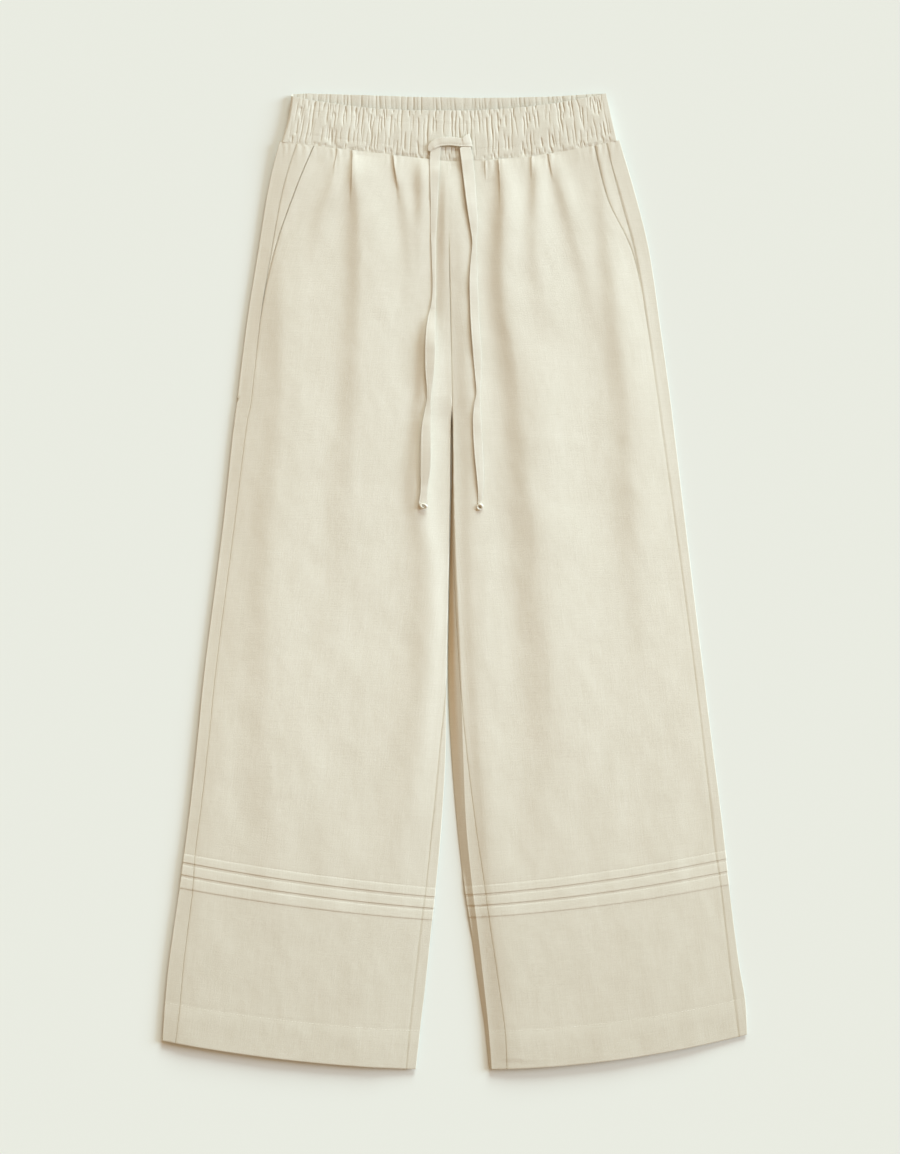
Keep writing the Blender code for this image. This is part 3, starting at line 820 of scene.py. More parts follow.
@dataclass
class FoldedEdge:
    """A pressed fold at a leg's side: a tight corner, a sloping wall and a corner on the table."""

    top: float
    foot: float

    def __post_init__(self) -> None:
        """Work out the wall's slope and length, and how much cloth goes round the fold."""
        drop = self.top - HALF_WALL - 2 * CORNER
        self.slope = math.atan2(drop, self.foot)
        self.wall = drop / math.sin(self.slope)
        self.length = self.wall + math.pi * CORNER

    def trace(self, start: float, end: float) -> tuple[Array, Array]:
        """Trace the fold between two parts of its length, 0 on top and 1 on the table.

        Args:
            start: Where to start.
            end: Where to end.

        Returns:
            How far out each point is, and its height.
        """
        slope = self.slope
        along = np.linspace(start, end, PATH_POINTS) * self.length
        first = np.clip(along / CORNER, 0, slope)
        slide = np.clip(along - CORNER * slope, 0, self.wall)
        second = slope + np.clip((along - self.wall) / CORNER - slope, 0, math.pi - slope)
        out = CORNER * (np.sin(first) + np.sin(second) - math.sin(slope))
        drop = CORNER * (1 - np.cos(first) + math.cos(slope) - np.cos(second))
        return out + slide * math.cos(slope), self.top - drop - slide * math.sin(slope)


class Row(NamedTuple):
    """One row of a panel: its place down the leg, its lift off the cloth and its slide."""

    place: float
    lift: float = 0.0
    slide: float = 0.0


@dataclass
class Leg:
    """The laid shape of one leg and the rows of its cloth."""

    side: Side
    table: list[Section]
    drape: Drape
    outer_reach: float
    inner_reach: float
    outer_under: float = 0.0
    inner_under: float = 0.0
    seam_dip: float = 0.85
    seam_reach: float = 0.6
    seam_ridge: float = 0.04
    ridge_place: float = 3.2
    ridge_reach: float = 1.8
    mouth_start: float = 8.0
    mouth_puff: float = 0.4
    mouth_reach: float = 7.0

    @property
    def flip(self) -> bool:
        """Tell whether the columns run toward the wearer's right."""
        return self.side is Side.LEFT

    def section(self, place: float) -> Section:
        """Read the pattern at a place between two of its rows.

        Args:
            place: The place down the leg.

        Returns:
            The section there.
        """
        values = {name: through([getattr(row, name) for row in self.table], place) for name in NUMBERS}
        values["closed"] = min(max(place - CROTCH, 0.0), 1.0)
        return Section("", **values)

    def spaced(self, index: int, step: float, start: float = 0.0) -> list[Row]:
        """Space rows evenly between two rows of the pattern.

        Args:
            index: The number of the first one.
            step: The distance between rows in millimetres.
            start: The part of the way that they leave out.

        Returns:
            The rows.
        """
        length = abs(self.table[index].out_y - self.table[index + 1].out_y)
        count = max(int(round(length / step)), 2)
        return [Row(index + start + (1 - start) * part / count) for part in range(count)]

    def rows(self, step: float) -> list[Row]:
        """List the rows of the cloth from the waist, over the tucks, to the hem's turned end.

        Args:
            step: The distance between rows in millimetres, and twice the one at the waist.

        Returns:
            The rows in order.
        """
        rows = self.spaced(0, step / 2)
        for index in range(1, TUCK_TOP):
            rows += self.spaced(index, step)
        for tuck in range(TUCK_COUNT):
            rows += [Row(tuck_place(tuck + part), lift) for part, lift in TUCK_PROFILE]
        rows += self.spaced(TUCK_BASE, step, TUCK_END)
        for index in range(TUCK_BASE + 1, HEM_STITCH):
            rows += self.spaced(index, step)
        rows += [Row(HEM_STITCH + part, lift) for part, lift in HEM_START]
        rows += [Row(HEM_STITCH + part, HEM_RISE) for part in np.linspace(0.25, 0.97, 13)]
        rows += [Row(LAST, HEM_RISE - drop, slide) for drop, slide in HEM_NOSE]
        return rows + [Row(HEM_STITCH + part, HEM_RISE - LAYER) for part in np.linspace(0.96, 0.03, 9)]

    @staticmethod
    def near_edges(section: Section, across: Array, outer: float, inner: float) -> tuple[Array, Array]:
        """Give how near points are to the leg's two folded edges.

        Args:
            section: The row's section.
            across: Distances from the outer edge.
            outer: How far in the outer edge is felt.
            inner: How far in the inner edge is felt.

        Returns:
            Nearness to the outer and to the inner edge: 1 there, falling to 0.
        """
        from_outer = np.maximum(across - EDGE_START, 0) / outer
        from_inner = np.maximum(section.width - across - EDGE_START, 0) / inner
        return np.exp(-(from_outer**EDGE_FALL)), np.exp(-(from_inner**EDGE_FALL)) * section.closed

    def flat_height(self, section: Section, across: Array) -> Array:
        """Give the laid height of the middle of the cloth on top of the leg, without its relief.

        Args:
            section: The row's section.
            across: Distances from the outer edge.

        Returns:
            The heights.
        """
        flat = REST_HEIGHT + section.loft
        outer, inner = self.near_edges(section, across, self.outer_reach, self.inner_reach)
        return flat + (section.outer_top - flat) * outer + (section.inner_top - flat) * inner

    def relief(self, section: Section, across: Array, x: Array, y: Array) -> Array:
        """Give the drape's relief at points of a row, calmer at the folded edges.

        Args:
            section: The row's section.
            across: Distances from the outer edge.
            x: Places across the garment.
            y: Places up the garment.

        Returns:
            The relief.
        """
        waist = self.table[0]
        seam = waist.place(across / section.width * waist.width, 0)[1]
        edges = self.near_edges(section, across, EDGE_FADE, EDGE_FADE)
        relief = self.drape.height(x, y, np.maximum(seam - y, 0.0))
        return relief * (1 - EDGE_CALM * np.maximum(*edges))

    def dip(self, section: Section) -> float:
        """Give how deep the seams lie in a row: deepest by the pockets."""
        return self.seam_dip * (0.6 + 0.4 * float(smooth_step((section.out_y - 200) / 100)))

    def outer_fold(self, section: Section) -> FoldedEdge:
        """Give the outer fold of a row."""
        return FoldedEdge(section.outer_top, -self.outer_under * section.outer_top)

    def inner_fold(self, section: Section) -> FoldedEdge:
        """Give the inner fold of a row."""
        return FoldedEdge(section.inner_top, section.foot - self.inner_under * section.inner_top)

    def front_share(self, section: Section) -> float:
        """Give how much of the inner fold the front covers, where the inseam is on it."""
        return min(max(-section.inseam, 0.0) / self.inner_fold(section).length, 0.85)

    @staticmethod
    def inner_start(section: Section) -> float:
        """Give the distance from the outer edge at which the inner fold starts."""
        return section.width - EDGE_START * section.closed

    def front_path(self, section: Section) -> Array:
        """Trace the front across one row, from the mouth or side seam to the inner seam.

        Args:
            section: The row's section.

        Returns:
            Points (across, height).
        """
        start = max(section.mouth, section.side)
        end = self.inner_start(section) - max(section.inseam, 0.0) * section.closed
        flat = np.linspace(start, end, PATH_POINTS)
        path = np.column_stack([flat, self.flat_height(section, flat)])
        share = self.front_share(section) * section.closed
        if share <= 0:
            return path
        out, height = self.inner_fold(section).trace(0, share)
        height = height - section.inner_top + path[-1, 1]
        return np.vstack([path, np.column_stack([end + out, height])[1:]])

    def back_path(self, section: Section) -> Array:
        """Trace the back across one row: side seam, outer fold, table and inner fold.

        Args:
            section: The row's section.

        Returns:
            Points (across, height).
        """
        strip = np.linspace(section.side, EDGE_START, PATH_POINTS)
        outer, inner = self.outer_fold(section), self.inner_fold(section)
        out, height = outer.trace(0, 1)
        start = self.inner_start(section)
        table = np.linspace(EDGE_START - outer.foot, start + inner.foot * section.closed, PATH_POINTS)
        pieces = [
            (strip, self.flat_height(section, strip)),
            (EDGE_START - out[1:], height[1:]),
            (table[1:], np.full(PATH_POINTS - 1, HALF_WALL)),
        ]
        if section.closed > 0:
            out, height = inner.trace(1, 1 - (1 - self.front_share(section)) * section.closed)
            pieces.append((start + out[1:], height[1:]))
        if section.inseam > 0 and section.closed >= 1:
            strip = start - np.linspace(0, section.inseam, PATH_POINTS)[1:]
            pieces.append((strip, self.flat_height(section, strip)))
        return np.hstack([np.array(piece) for piece in pieces]).T


@dataclass
class Panel:
    """A panel of a leg: traced row by row, with its relief, tucks and hem."""

    leg: Leg
    name: str
    columns: int
    step: float
    back: bool

    def weights(self, section: Section, across: Array) -> Array:
        """Give how closely columns stand along a row: closer at pleats, seams and folds.

        Args:
            section: The row's section.
            across: Distances from the outer edge.

        Returns:
            The density of the columns.
        """
        if self.back:
            inner = section.width - across
            edge = np.minimum(across, inner)
            outer_foot = np.abs(across + self.leg.outer_fold(section).foot)
            inner_foot = np.abs(inner + self.leg.inner_fold(section).foot)
            corner = np.minimum(np.abs(edge), np.minimum(outer_foot, inner_foot))
            near = [more * bell(away / reach) for away, (more, reach) in zip((edge, corner), BACK_DENSITY)]
            return BACK_LEAST + near[0] + near[1]
        x, y = section.place(across, 0)
        ends = np.minimum(across - across[0], across[-1] - across)
        density = 1 + sum(more * bell(ends / reach) for more, reach in FRONT_DENSITY)
        for pleat in self.leg.drape.pleats:
            centre, end = pleat.crests[1][1], pleat.crests[-1][0]
            density += PLEAT_MORE * bell((x - centre) / PLEAT_REACH) * smooth_step(1 - (end - y) / PLEAT_TAIL)
        return density

    def row(self, row: Row) -> tuple[Array, Array]:
        """Place one row of the panel.

        Args:
            row: The row.

        Returns:
            Its points and its cloth coordinates, in millimetres.
        """
        section = self.leg.section(row.place)
        path = self.leg.back_path(section) if self.back else self.leg.front_path(section)
        steps = np.hypot(*np.diff(path, axis=0).T)
        length = np.append(0.0, np.cumsum(steps))
        density = self.weights(section, path[:, 0])
        weight = np.append(0.0, np.cumsum(steps * (density[1:] + density[:-1]) / 2))
        along = np.interp(np.linspace(0, weight[-1], self.columns), weight, length)
        across, height = (np.interp(along, length, path[:, k]) for k in (0, 1))
        slope_x, slope_z = (np.gradient(value, along) for value in (across, height))
        size = (np.hypot(slope_x, slope_z) + 1e-9) * (-1 if self.back else 1)
        normal_x, normal_z = -slope_z / size, slope_x / size
        lower = min(section.outer_top, section.inner_top)
        under = smooth_step((lower - height) / lower * 2 - 0.5) * self.back
        x, y = section.place(across, under)
        free = smooth_step(normal_z * 2 - 1) * smooth_step((height - HALF_WALL) / 2)
        offset = row.lift + self.leg.relief(section, across, x, y) * free + self.seams(section, along)
        across = across + normal_x * offset
        height = height + normal_z * offset + under * self.raise_under(row.place)
        if not self.back:
            height = np.maximum(height, LOWEST_FRONT)
        x, y = section.place(across, under)
        drop = self.leg.table[0].out_y - section.out_y + row.slide
        points = np.column_stack([x, y - row.slide, height])
        return points, np.column_stack([along, np.full(self.columns, drop)])

    @staticmethod
    def raise_under(place: float) -> float:
        """Give how far the tucks and the hem hold the cloth under the leg off the table."""
        tucks = smooth_step((place - TUCK_TOP) / 0.3 + 1) * smooth_step((TUCK_BASE + 0.4 - place) / 0.3)
        return TUCK_RISE * tucks + HEM_RISE * smooth_step((place - HEM_STITCH) / 0.1 + 1)

    def seams(self, section: Section, along: Array) -> Array:
        """Give the relief of the panel's seams: a dip in each, and beside it a low ridge.

        Args:
            section: The row's section.
            along: Distances along the row's path.

        Returns:
            The relief.
        """
        leg = self.leg
        from_end = along[-1] - along
        mouth = 0.0 if self.back else float(smooth_step((section.mouth - section.side) / leg.mouth_start))
        dip = leg.dip(section) * (1 - mouth)
        relief = -dip * bell((along if self.back is leg.flip else from_end) / leg.seam_reach)
        if self.back:
            return relief
        if not leg.flip:
            relief = relief + leg.mouth_puff * mouth * bell(along / leg.mouth_reach)
        ridges = [bell((away - leg.ridge_place) / leg.ridge_reach) for away in (along, from_end)]
        return relief + leg.seam_ridge * (ridges[0] + ridges[1])

    def grid(self) -> ClothGrid:
        """Make the grid of the panel's middle surface.

        Returns:
            The grid.
        """
        points, grain = zip(*(self.row(row) for row in self.leg.rows(self.step)))
        return ClothGrid(self.name, np.stack(points), np.stack(grain), flip=self.leg.flip != self.back)

    def stitch_line(self, place: float, dip: float) -> Array:
        """Trace a row of stitches on the panel's outer face, from its place and its depth."""
        return self.row(Row(place, HALF_WALL + STITCH_LIFT - dip))[0]


@dataclass
class LegCloth:
    """One leg's front, back and hip piece."""

    leg: Leg
    dress: Dress
    pocket_rows: int = 150
    pocket_columns: int = 34
    pocket_end: float = 2.96
    pocket_hidden: tuple[float, ...] = (1.0, 2.5, 4.5, 7.5, 11.0)
    right_mouth: Span = (1.5, 0.7)
    left_mouth: Span = (0.8, 0.6)
    left_roll: float = 0.25
    left_upper: float = 1.4

    def __post_init__(self) -> None:
        """Lay out the panels."""
        side = self.leg.side.value
        self.front = Panel(self.leg, f"front_{side}_cloth", columns=120, step=3.2, back=False)
        self.back = Panel(self.leg, f"back_{side}_cloth", columns=124, step=4.0, back=True)

    def build(self) -> None:
        """Build and dress the leg's pieces."""
        grids = (
            (self.front.grid(), "front", FRONT_CUT),
            (self.back.grid(), "back", BACK_CUT),
            (self.pocket_grid(), "pocket", POCKET_CUT),
        )
        for grid, kind, cut in grids:
            cut.declare(self.dress.piece(grid.name, shell(grid), f"{kind}_{self.leg.side.value}"))

    def stitch_lines(self) -> list[Array]:
        """Trace the rows of stitches of the tucks and the hem.

        Returns:
            Each row's points.
        """
        places = [(tuck_place(tuck + TUCK_STITCH), TUCK_STITCH_DIP) for tuck in range(TUCK_COUNT)]
        places.append((float(HEM_STITCH), HEM_STITCH_DIP))
        return [panel.stitch_line(*place) for panel in (self.front, self.back) for place in places]

    def pocket_grid(self) -> ClothGrid:
        """Make the hip piece: level with the back at the side seam, and under the front beyond.

        Returns:
            The grid of its middle surface.
        """
        leg = self.leg
        points, grain = [], []
        shown = np.linspace(1, 0, self.pocket_columns) ** 1.9
        for place in np.linspace(0, self.pocket_end, self.pocket_rows):
            section = leg.section(place)
            across = section.mouth - (section.mouth - section.side) * shown
            across = np.append(across, section.mouth + np.array(self.pocket_hidden))
            x, y = section.place(across, 0)
            height = leg.flat_height(section, across) + leg.relief(section, across, x, y)
            away = np.maximum(section.mouth - across, 0.0)
            depth, reach = self.left_mouth if leg.flip else self.right_mouth
            if leg.flip:
                upper = float(smooth_step(self.left_upper - place))
                depth += depth * upper
                height += self.left_roll * upper * (away > 0) * bell((away - 4.0) / 3.0)
            else:
                height -= leg.dip(section) * bell((across - section.side) / leg.seam_reach)
            height -= depth * np.exp(-away / reach)
            points.append(np.column_stack([x, y, np.maximum(height, LOWEST_FRONT)]))
            grain.append(np.column_stack([across, np.full(len(across), -section.out_y)]))
        name = f"pocket_{leg.side.value}_cloth"
        return ClothGrid(name, np.stack(points), np.stack(grain), flip=leg.flip)


# Waistband


@dataclass
class Creases:
    """Thin uneven creases that spread from one row of stitches of the gathered band."""

    start_x: float
    end_x: float
    row: float
    above: float
    below: float
    seed: int
    pitch: float
    depth: float = 1.05
    steep: float = 0.34
    gentle: float = 1.0
    lean: float = 8.0
    uneven: float = 0.42
    nearest: float = 1.6
    farthest: float = 12.0
    shortest: float = 0.15
    wander: float = 0.6

    def __post_init__(self) -> None:
        """Draw the creases."""
        draw = np.random.default_rng(self.seed)
        gaps = self.pitch * np.exp(draw.normal(0, self.uneven, int((self.end_x - self.start_x) / 2)))
        places = self.start_x + np.cumsum(np.clip(gaps, self.nearest, self.farthest))
        self.places = places[places < self.end_x]
        count = len(self.places)
        self.depths = self.depth * draw.uniform(0.3, 1.0, count)
        self.widths = draw.uniform(0.7, 1.4, count)
        self.above_reach = self.above * draw.uniform(self.shortest, 1.0, count)
        self.below_reach = self.below * draw.uniform(self.shortest, 1.0, count)
        self.tilts = draw.normal(0, 1.6, count)
        self.noise = Noise(self.seed + 1)

    def at(self, x: Array, v: float) -> Array:
        """Read the depth of the creases along one line across the band.

        Args:
            x: Places across.
            v: How far up the band, from 0 to 1.

        Returns:
            The height, below 0 in a crease.
        """
        reach = self.above_reach if v > self.row else self.below_reach
        fade = 1 - np.abs(v - self.row) / np.maximum(reach, 0.01)
        kept = fade > 0
        strength = self.depths[kept] * smooth_step(fade[kept] * 1.8)
        centre = self.places - (self.lean * (self.places + 5.0) / 170.0 + self.tilts) * (v - self.row)
        centre = centre + self.wander * self.noise.at(self.places / 3.0, v * 6.0)
        away = (x[:, None] - centre[None, kept]) / self.widths[None, kept]
        away = away / np.where(away < 0, self.gentle, self.steep)
        return -np.sum(np.exp(-np.sqrt(away**2 + 0.01)) * strength[None, :], axis=1)


# The band's top edge: places across, and how high up the front and the back reach there
BAND_TOP = (
    (-174, 500, 501), (-150, 495, 502), (-113, 489.5, 501), (-84, 486, 500), (-40, 484, 498.5),
    (20, 484, 497.5), (67, 487, 498), (103, 491.5, 499), (135, 497, 501), (156.5, 502, 502.5),
)


@dataclass
class Waistband:
    """The gathered elastic band: a closed ring of cloth, its front lying on its back."""

    legs: tuple[Leg, Leg]
    dress: Dress
    left_x: float = -179.0
    left_top_x: float = -168.5
    right_top_x: float = 156.5
    right_seam_x: float = 167.5
    left_radius: float = 2.0
    right_radius: float = 1.3
    right_under: float = 8.0
    front_mid: float = 6.6
    front_drop: float = 0.6
    back_mid: float = 0.6
    back_rise: float = 2.3
    seam_level: float = -0.75
    channel_dip: float = 0.12
    channel_width: float = 0.014
    seam_fade: float = 0.08
    waviness: float = 0.3
    stretch: float = 1.7
    lowest: float = 0.02
    front_columns: int = 980
    back_columns: int = 560
    fold_columns: int = 10
    outer_rows: int = 44
    inner_rows: int = 8

    def __post_init__(self) -> None:
        """Draw the gathers of each channel of the front and of the back."""
        low, high = BAND_ROWS
        ends = (self.left_x + 3, self.right_seam_x - 3)
        self.front = [
            Creases(*ends, 0.0, 0.22, 0.0, seed=31, pitch=4.0),
            Creases(*ends, low, 0.55, 0.22, seed=32, pitch=4.6),
            Creases(*ends, high, 0.30, 0.55, seed=33, pitch=4.2),
            Creases(*ends, 1.0, 0.0, 0.30, seed=34, pitch=5.0),
        ]
        self.back = [Creases(*ends, 0.82, 0.5, 0.6, seed=41, pitch=4.8, gentle=0.7, lean=2.0)]
        self.noise = Noise(5)

    def seam_y(self, x: float, back: float) -> float:
        """Give how high up the garment the waist seam is.

        Args:
            x: The place across.
            back: 0 on the front and 1 on the back.

        Returns:
            Its y.
        """
        right, left = (leg.table[0] for leg in self.legs)
        section = right if x < right.in_x else left
        inward = (x - section.out_x) * math.copysign(1.0, section.in_x - section.out_x)
        return section.place(min(max(inward, 0.0), section.width), back)[1]

    def gathers(self, x: Array, v: float, back: bool) -> Array:
        """Give the gathered relief along one row.

        Args:
            x: Places across.
            v: How far up the band, from 0 at the seam to 1 at the top edge.
            back: Whether it is the back of the band.

        Returns:
            The relief.
        """
        total = self.waviness * self.noise.at(x / 9.0, v * 2.2)
        for creases in self.back if back else self.front:
            total = total + creases.at(x, v)
        if back:
            return total
        for row in BAND_ROWS:
            total = total - self.channel_dip * bell((v - row) / self.channel_width)
        seam = self.seam_level * (0.5 + 0.5 * self.noise.at(x / 3.2, 9.0))
        return seam + (total - seam) * float(smooth_step(v / self.seam_fade))

    def surface(self, across: Array, turn: Array, v: float, side: float) -> Array:
        """Place one row of the ring.

        Args:
            across: How far across the band each point is, beyond 0 and 1 on the folds.
            turn: Its turn from the front (0) to the back (1).
            v: How far up the band.
            side: 1 on the cloth's outer face, -1 on the inner one, between them on the top edge.

        Returns:
            The points.
        """
        half = BAND_WALL / 2
        inside = np.clip(across, 0, 1)
        turned = (1 - np.cos(math.pi * turn)) / 2
        left = self.left_top_x + (self.left_x - self.left_top_x) * (1 - v) ** 1.6
        left += self.left_radius + half
        right = self.right_seam_x + (self.right_top_x - self.right_seam_x) * v
        right = right - self.right_radius - half - self.right_under * turned
        x = left + (right - left) * inside
        seam = np.array([self.seam_y(*place) for place in zip(x, turned)])
        relief = np.where(turn < 0.5, self.gathers(x, v, False), self.gathers(x, v, True))
        ends = smooth_step(np.minimum(inside, 1 - inside) * 40)
        relief = relief * np.where((turn > 0) & (turn < 1), 0.0, ends)
        round_out = np.sign(across - inside) * np.sin(math.pi * turn)
        radius = np.where(across > 0.5, self.right_radius, self.left_radius)
        places, *tops = np.array(BAND_TOP).T
        front, back = (np.interp(x, places, top) for top in tops)
        top = front + (back - front) * turned
        y = seam + (top - seam) * v + 0.25 * relief * smooth_step((v - 0.8) * 5)
        y = y + half * math.sqrt(1 - side**2) * 0.4
        upper = float(smooth_step((v - 0.4) / 0.6))
        front = self.front_mid - self.front_drop * upper
        middle = front + (self.back_mid + self.back_rise * upper - front) * turned
        z = middle + relief + half * side * np.cos(math.pi * turn)
        x = x + radius * (across - inside) + half * side * round_out
        return np.column_stack([x, y, np.maximum(z, self.lowest)])

    def stitch_lines(self) -> list[Array]:
        """Trace the rows of stitches on the front of the band.

        Returns:
            Each row's points.
        """
        across = np.linspace(0.01, 0.99, self.front_columns)
        return [self.surface(across, 0 * across, v, 1.0) + STITCH_LIFT * UP for v in (0.03, *BAND_ROWS)]

    def build(self) -> None:
        """Build and dress the waistband."""
        rows = [(v, 1.0) for v in np.linspace(0.0, 0.985, self.outer_rows)]
        rows += [(1.0, math.cos(angle)) for angle in np.linspace(0.5, math.pi - 0.5, 5)]
        rows += [(v, -1.0) for v in np.linspace(0.985, 0.0, self.inner_rows)]
        turns = np.linspace(0, 1, self.fold_columns)[1:-1]
        swing = np.sin(math.pi * turns)
        front, back = np.linspace(0, 1, self.front_columns), np.linspace(1, 0, self.back_columns)
        across = np.concatenate([front, 1 + swing, back, -swing[::-1]])
        turn = np.concatenate([0 * front, turns, 0 * back + 1, turns[::-1]])
        points, grain = [], []
        for v, side in rows:
            points.append(self.surface(across, turn, v, side))
            steps = np.abs(np.diff(points[-1][:, 0])) * self.stretch + 0.02
            spread = np.concatenate([[0.0], np.cumsum(steps), [2.0]])
            grain.append(np.column_stack([spread, np.full(len(spread), v * 50.0 * side)]))
        sheet = (np.stack(points), np.stack([*grain, grain[0]]))
        grid = ClothGrid("waistband_cloth", *sheet, flip=True, round_columns=True, round_rows=True)
        BAND_CUT.declare(self.dress.piece(grid.name, grid.mesh(), "waistband"))


# Stitches


@dataclass(frozen=True)
class ThreadFinish:
    """A matt cotton thread whose tone changes slowly along the seams."""

    name: str = "thread"
    dark: Colour = (0.66, 0.61, 0.50)
    light: Colour = (0.80, 0.757, 0.66)
    tones: Span = (0.35, 0.65)
    change: float = 14.0
    roughness: float = 0.8

    def build(self) -> bpy.types.Material:
        """Make the material.

        Returns:
            The new material.
        """
        material, maker, shader = new_material(self.name, Roughness=self.roughness)
        place = maker.node("ShaderNodeTexCoord").outputs["Object"]
        scale = 1 / (self.change * MM)
        tone = maker.signal("ShaderNodeTexNoise", Vector=place, Scale=scale, Detail=1.0)
        maker.feed(shader, "Base_Color", maker.ramp(tone, self.tones, (self.dark, self.light)))
        return material


@dataclass
class Stitches:
    """Rows of stitches: a node tree lays short threads along them, and they become one mesh."""

    finish: bpy.types.Material
    pitch: float = 3.0
    length: float = 2.2
    thickness: float = 0.36
    shortest: float = 0.85
    longest: float = 1.1
    seed: int = 9

    def tree(self) -> bpy.types.NodeTree:
        """Make the node tree.

        Returns:
            The tree.
        """
        tree = bpy.data.node_groups.new("stitches along rows", "GeometryNodeTree")
        for name, way in (("Rows", "INPUT"), ("Stitches", "OUTPUT")):
            tree.interface.new_socket(name, in_out=way, socket_type="NodeSocketGeometry")
        node = NodeMaker(tree).node
        rows = node("GeometryNodeMeshToCurve", Mesh=node("NodeGroupInput").outputs[0]).outputs[0]
        pitch, length, thickness = (size * MM for size in (self.pitch, self.length, self.thickness))
        spaced = node("GeometryNodeCurveToPoints", {"mode": "LENGTH"}, Curve=rows, Length=pitch).outputs
        ball = node("GeometryNodeMeshUVSphere", Segments=6, Rings=4, Radius=0.5).outputs[0]
        stitch = node("GeometryNodeTransform", Geometry=ball, Scale=(thickness, thickness, length))
        spread = {"i2": self.shortest, "i3": self.longest, "Seed": self.seed}
        uneven = node("FunctionNodeRandomValue", {"data_type": "FLOAT"}, **spread)
        laid = node(
            "GeometryNodeInstanceOnPoints",
            Points=spaced["Points"],
            Instance=stitch.outputs[0],
            Rotation=spaced["Rotation"],
            Scale=uneven.outputs[1],
        )
        real = node("GeometryNodeRealizeInstances", Geometry=laid.outputs[0]).outputs[0]
        dressed = node("GeometryNodeSetMaterial", Geometry=real, Material=self.finish)
        node("NodeGroupOutput", i0=dressed.outputs[0])
        return tree

    def build(self, name: str, slot: str, lines: list[Array]) -> None:
        """Build and dress one piece of stitches.

        Args:
            name: The piece's name.
            slot: The record's slot, kept in the dress but not given to the piece.
            lines: The rows' points in millimetres.
        """
        points = (np.vstack(lines) * MM).tolist()
        ends = set(np.cumsum([len(line) for line in lines]) - 1)
        edges = [(k, k + 1) for k in range(len(points) - 1) if k not in ends]
        mesh = bpy.data.meshes.new(name)
        mesh.from_pydata(points, edges, [])
        rows = add_object(name, mesh)
        rows.modifiers.new("stitches", "NODES").node_group = self.tree()
        Dress(self.finish, slot).piece(name, plain_mesh(rows))


# Tie


# The tape's middle from end to end: x, y, tilt in degrees, how much it is gathered, and its lift
RIGHT_TAIL = (
    (-19.6, 448, 0, 1.0, 0.0), (-20.8, 434, 0, 1.0, 0.0), (-21.2, 415, 0, 0.88, 0.0),
    (-21.4, 393, 0, 0.74, 0.0), (-22.0, 366, 1, 0.58, 0.0), (-22.0, 341, 2, 0.44, 0.0),
    (-21.4, 305, 3, 0.34, 0.1), (-22.2, 286, 1, 0.42, 0.3), (-24.2, 270, -2, 0.75, 0.9),
    (-25.4, 250, -3, 0.96, 1.6), (-25.9, 222, -3, 0.94, 1.6), (-26.6, 190, -4, 0.42, 1.4),
    (-28.0, 174, -3, 0.66, 1.7), (-29.7, 154, -3, 0.95, 2.6), (-30.2, 118, -3, 0.98, 3.0),
    (-31.6, 97, 0, 0.7, 2.2), (-32.2, 88, 0, 0.74, 1.7), (-32.6, 79, 0, 0.95, 1.4),
)

LEFT_TAIL = (
    (10.2, 447, 0, 1.1, 0.4), (12.2, 434, 4, 1.15, 0.9), (14.6, 412, 5, 1.1, 1.2),
    (17.2, 387, 5, 1.0, 1.1), (19.4, 364, 5, 0.75, 0.9), (19.8, 347, 4, 0.42, 0.7),
    (19.2, 328, 4, 0.64, 0.6), (19.0, 307, 4, 0.82, 0.6), (20.2, 271, 5, 0.86, 0.6),
    (22.4, 238, 5, 0.84, 0.5), (23.6, 214, 5, 0.66, 0.4), (23.8, 194, 5, 0.4, 0.3),
    (22.8, 180, 4, 0.66, 0.3), (22.6, 164, 4, 0.85, 0.5), (23.8, 137, 5, 0.85, 0.6),
    (25.8, 108, 5, 0.7, 0.6), (26, 91, 3, 0.46, 0.5), (25.2, 79, 0, 0.34, 0.0),
)

KNOT_BAR = (
    (-26.5, 441.5, 0, 0.3, -0.4), (-24.0, 446.8, 0, 0.75, 0.0), (-17, 451.0, 0, 0.92, 0.0),
    (-6, 452.2, 0, 0.95, 0.0), (3, 451.3, 0, 0.92, 0.0), (7.5, 450.6, 0, 0.85, 0.2),
    (12, 452.0, 0, 1.2, 0.2), (16.6, 453.4, 0, 1.5, -0.4),
)


@dataclass
class Ground:
    """The height of everything that the tie lies on."""

    legs: tuple[Leg, Leg]
    band: Waistband
    band_gathers: float = 0.75

    def leg_height(self, x: float, y: float) -> float:
        """Give the height of the outer face of a leg's front.

        Args:
            x: The place across.
            y: The place up the garment.

        Returns:
            The height.
        """
        leg = self.legs[0] if x < self.legs[0].table[CROTCH].in_x else self.legs[1]
        rows = [-section.out_y for section in leg.table]
        section = leg.section(float(np.interp(-y, rows, range(len(rows)))))
        across = np.array([abs(x - section.out_x)])
        relief = leg.relief(section, across, np.array([x]), np.array([y]))
        return float(max((leg.flat_height(section, across) + relief)[0], LOWEST_FRONT)) + HALF_WALL

    def height(self, x: float, y: float) -> float:
        """Give the height of the cloth's outer face, on a leg or on the band.

        Args:
            x: The place across.
            y: The place up the garment.

        Returns:
            The height.
        """
        seam = self.band.seam_y(x, 0.0)
        band = self.band.front_mid + BAND_WALL / 2 + self.band_gathers
        part = float(smooth_step((y - seam + 4.0) / 5.0))
        if part >= 1:
            return band
        return self.leg_height(x, min(y, seam - 1.0)) * (1 - part) + band * part


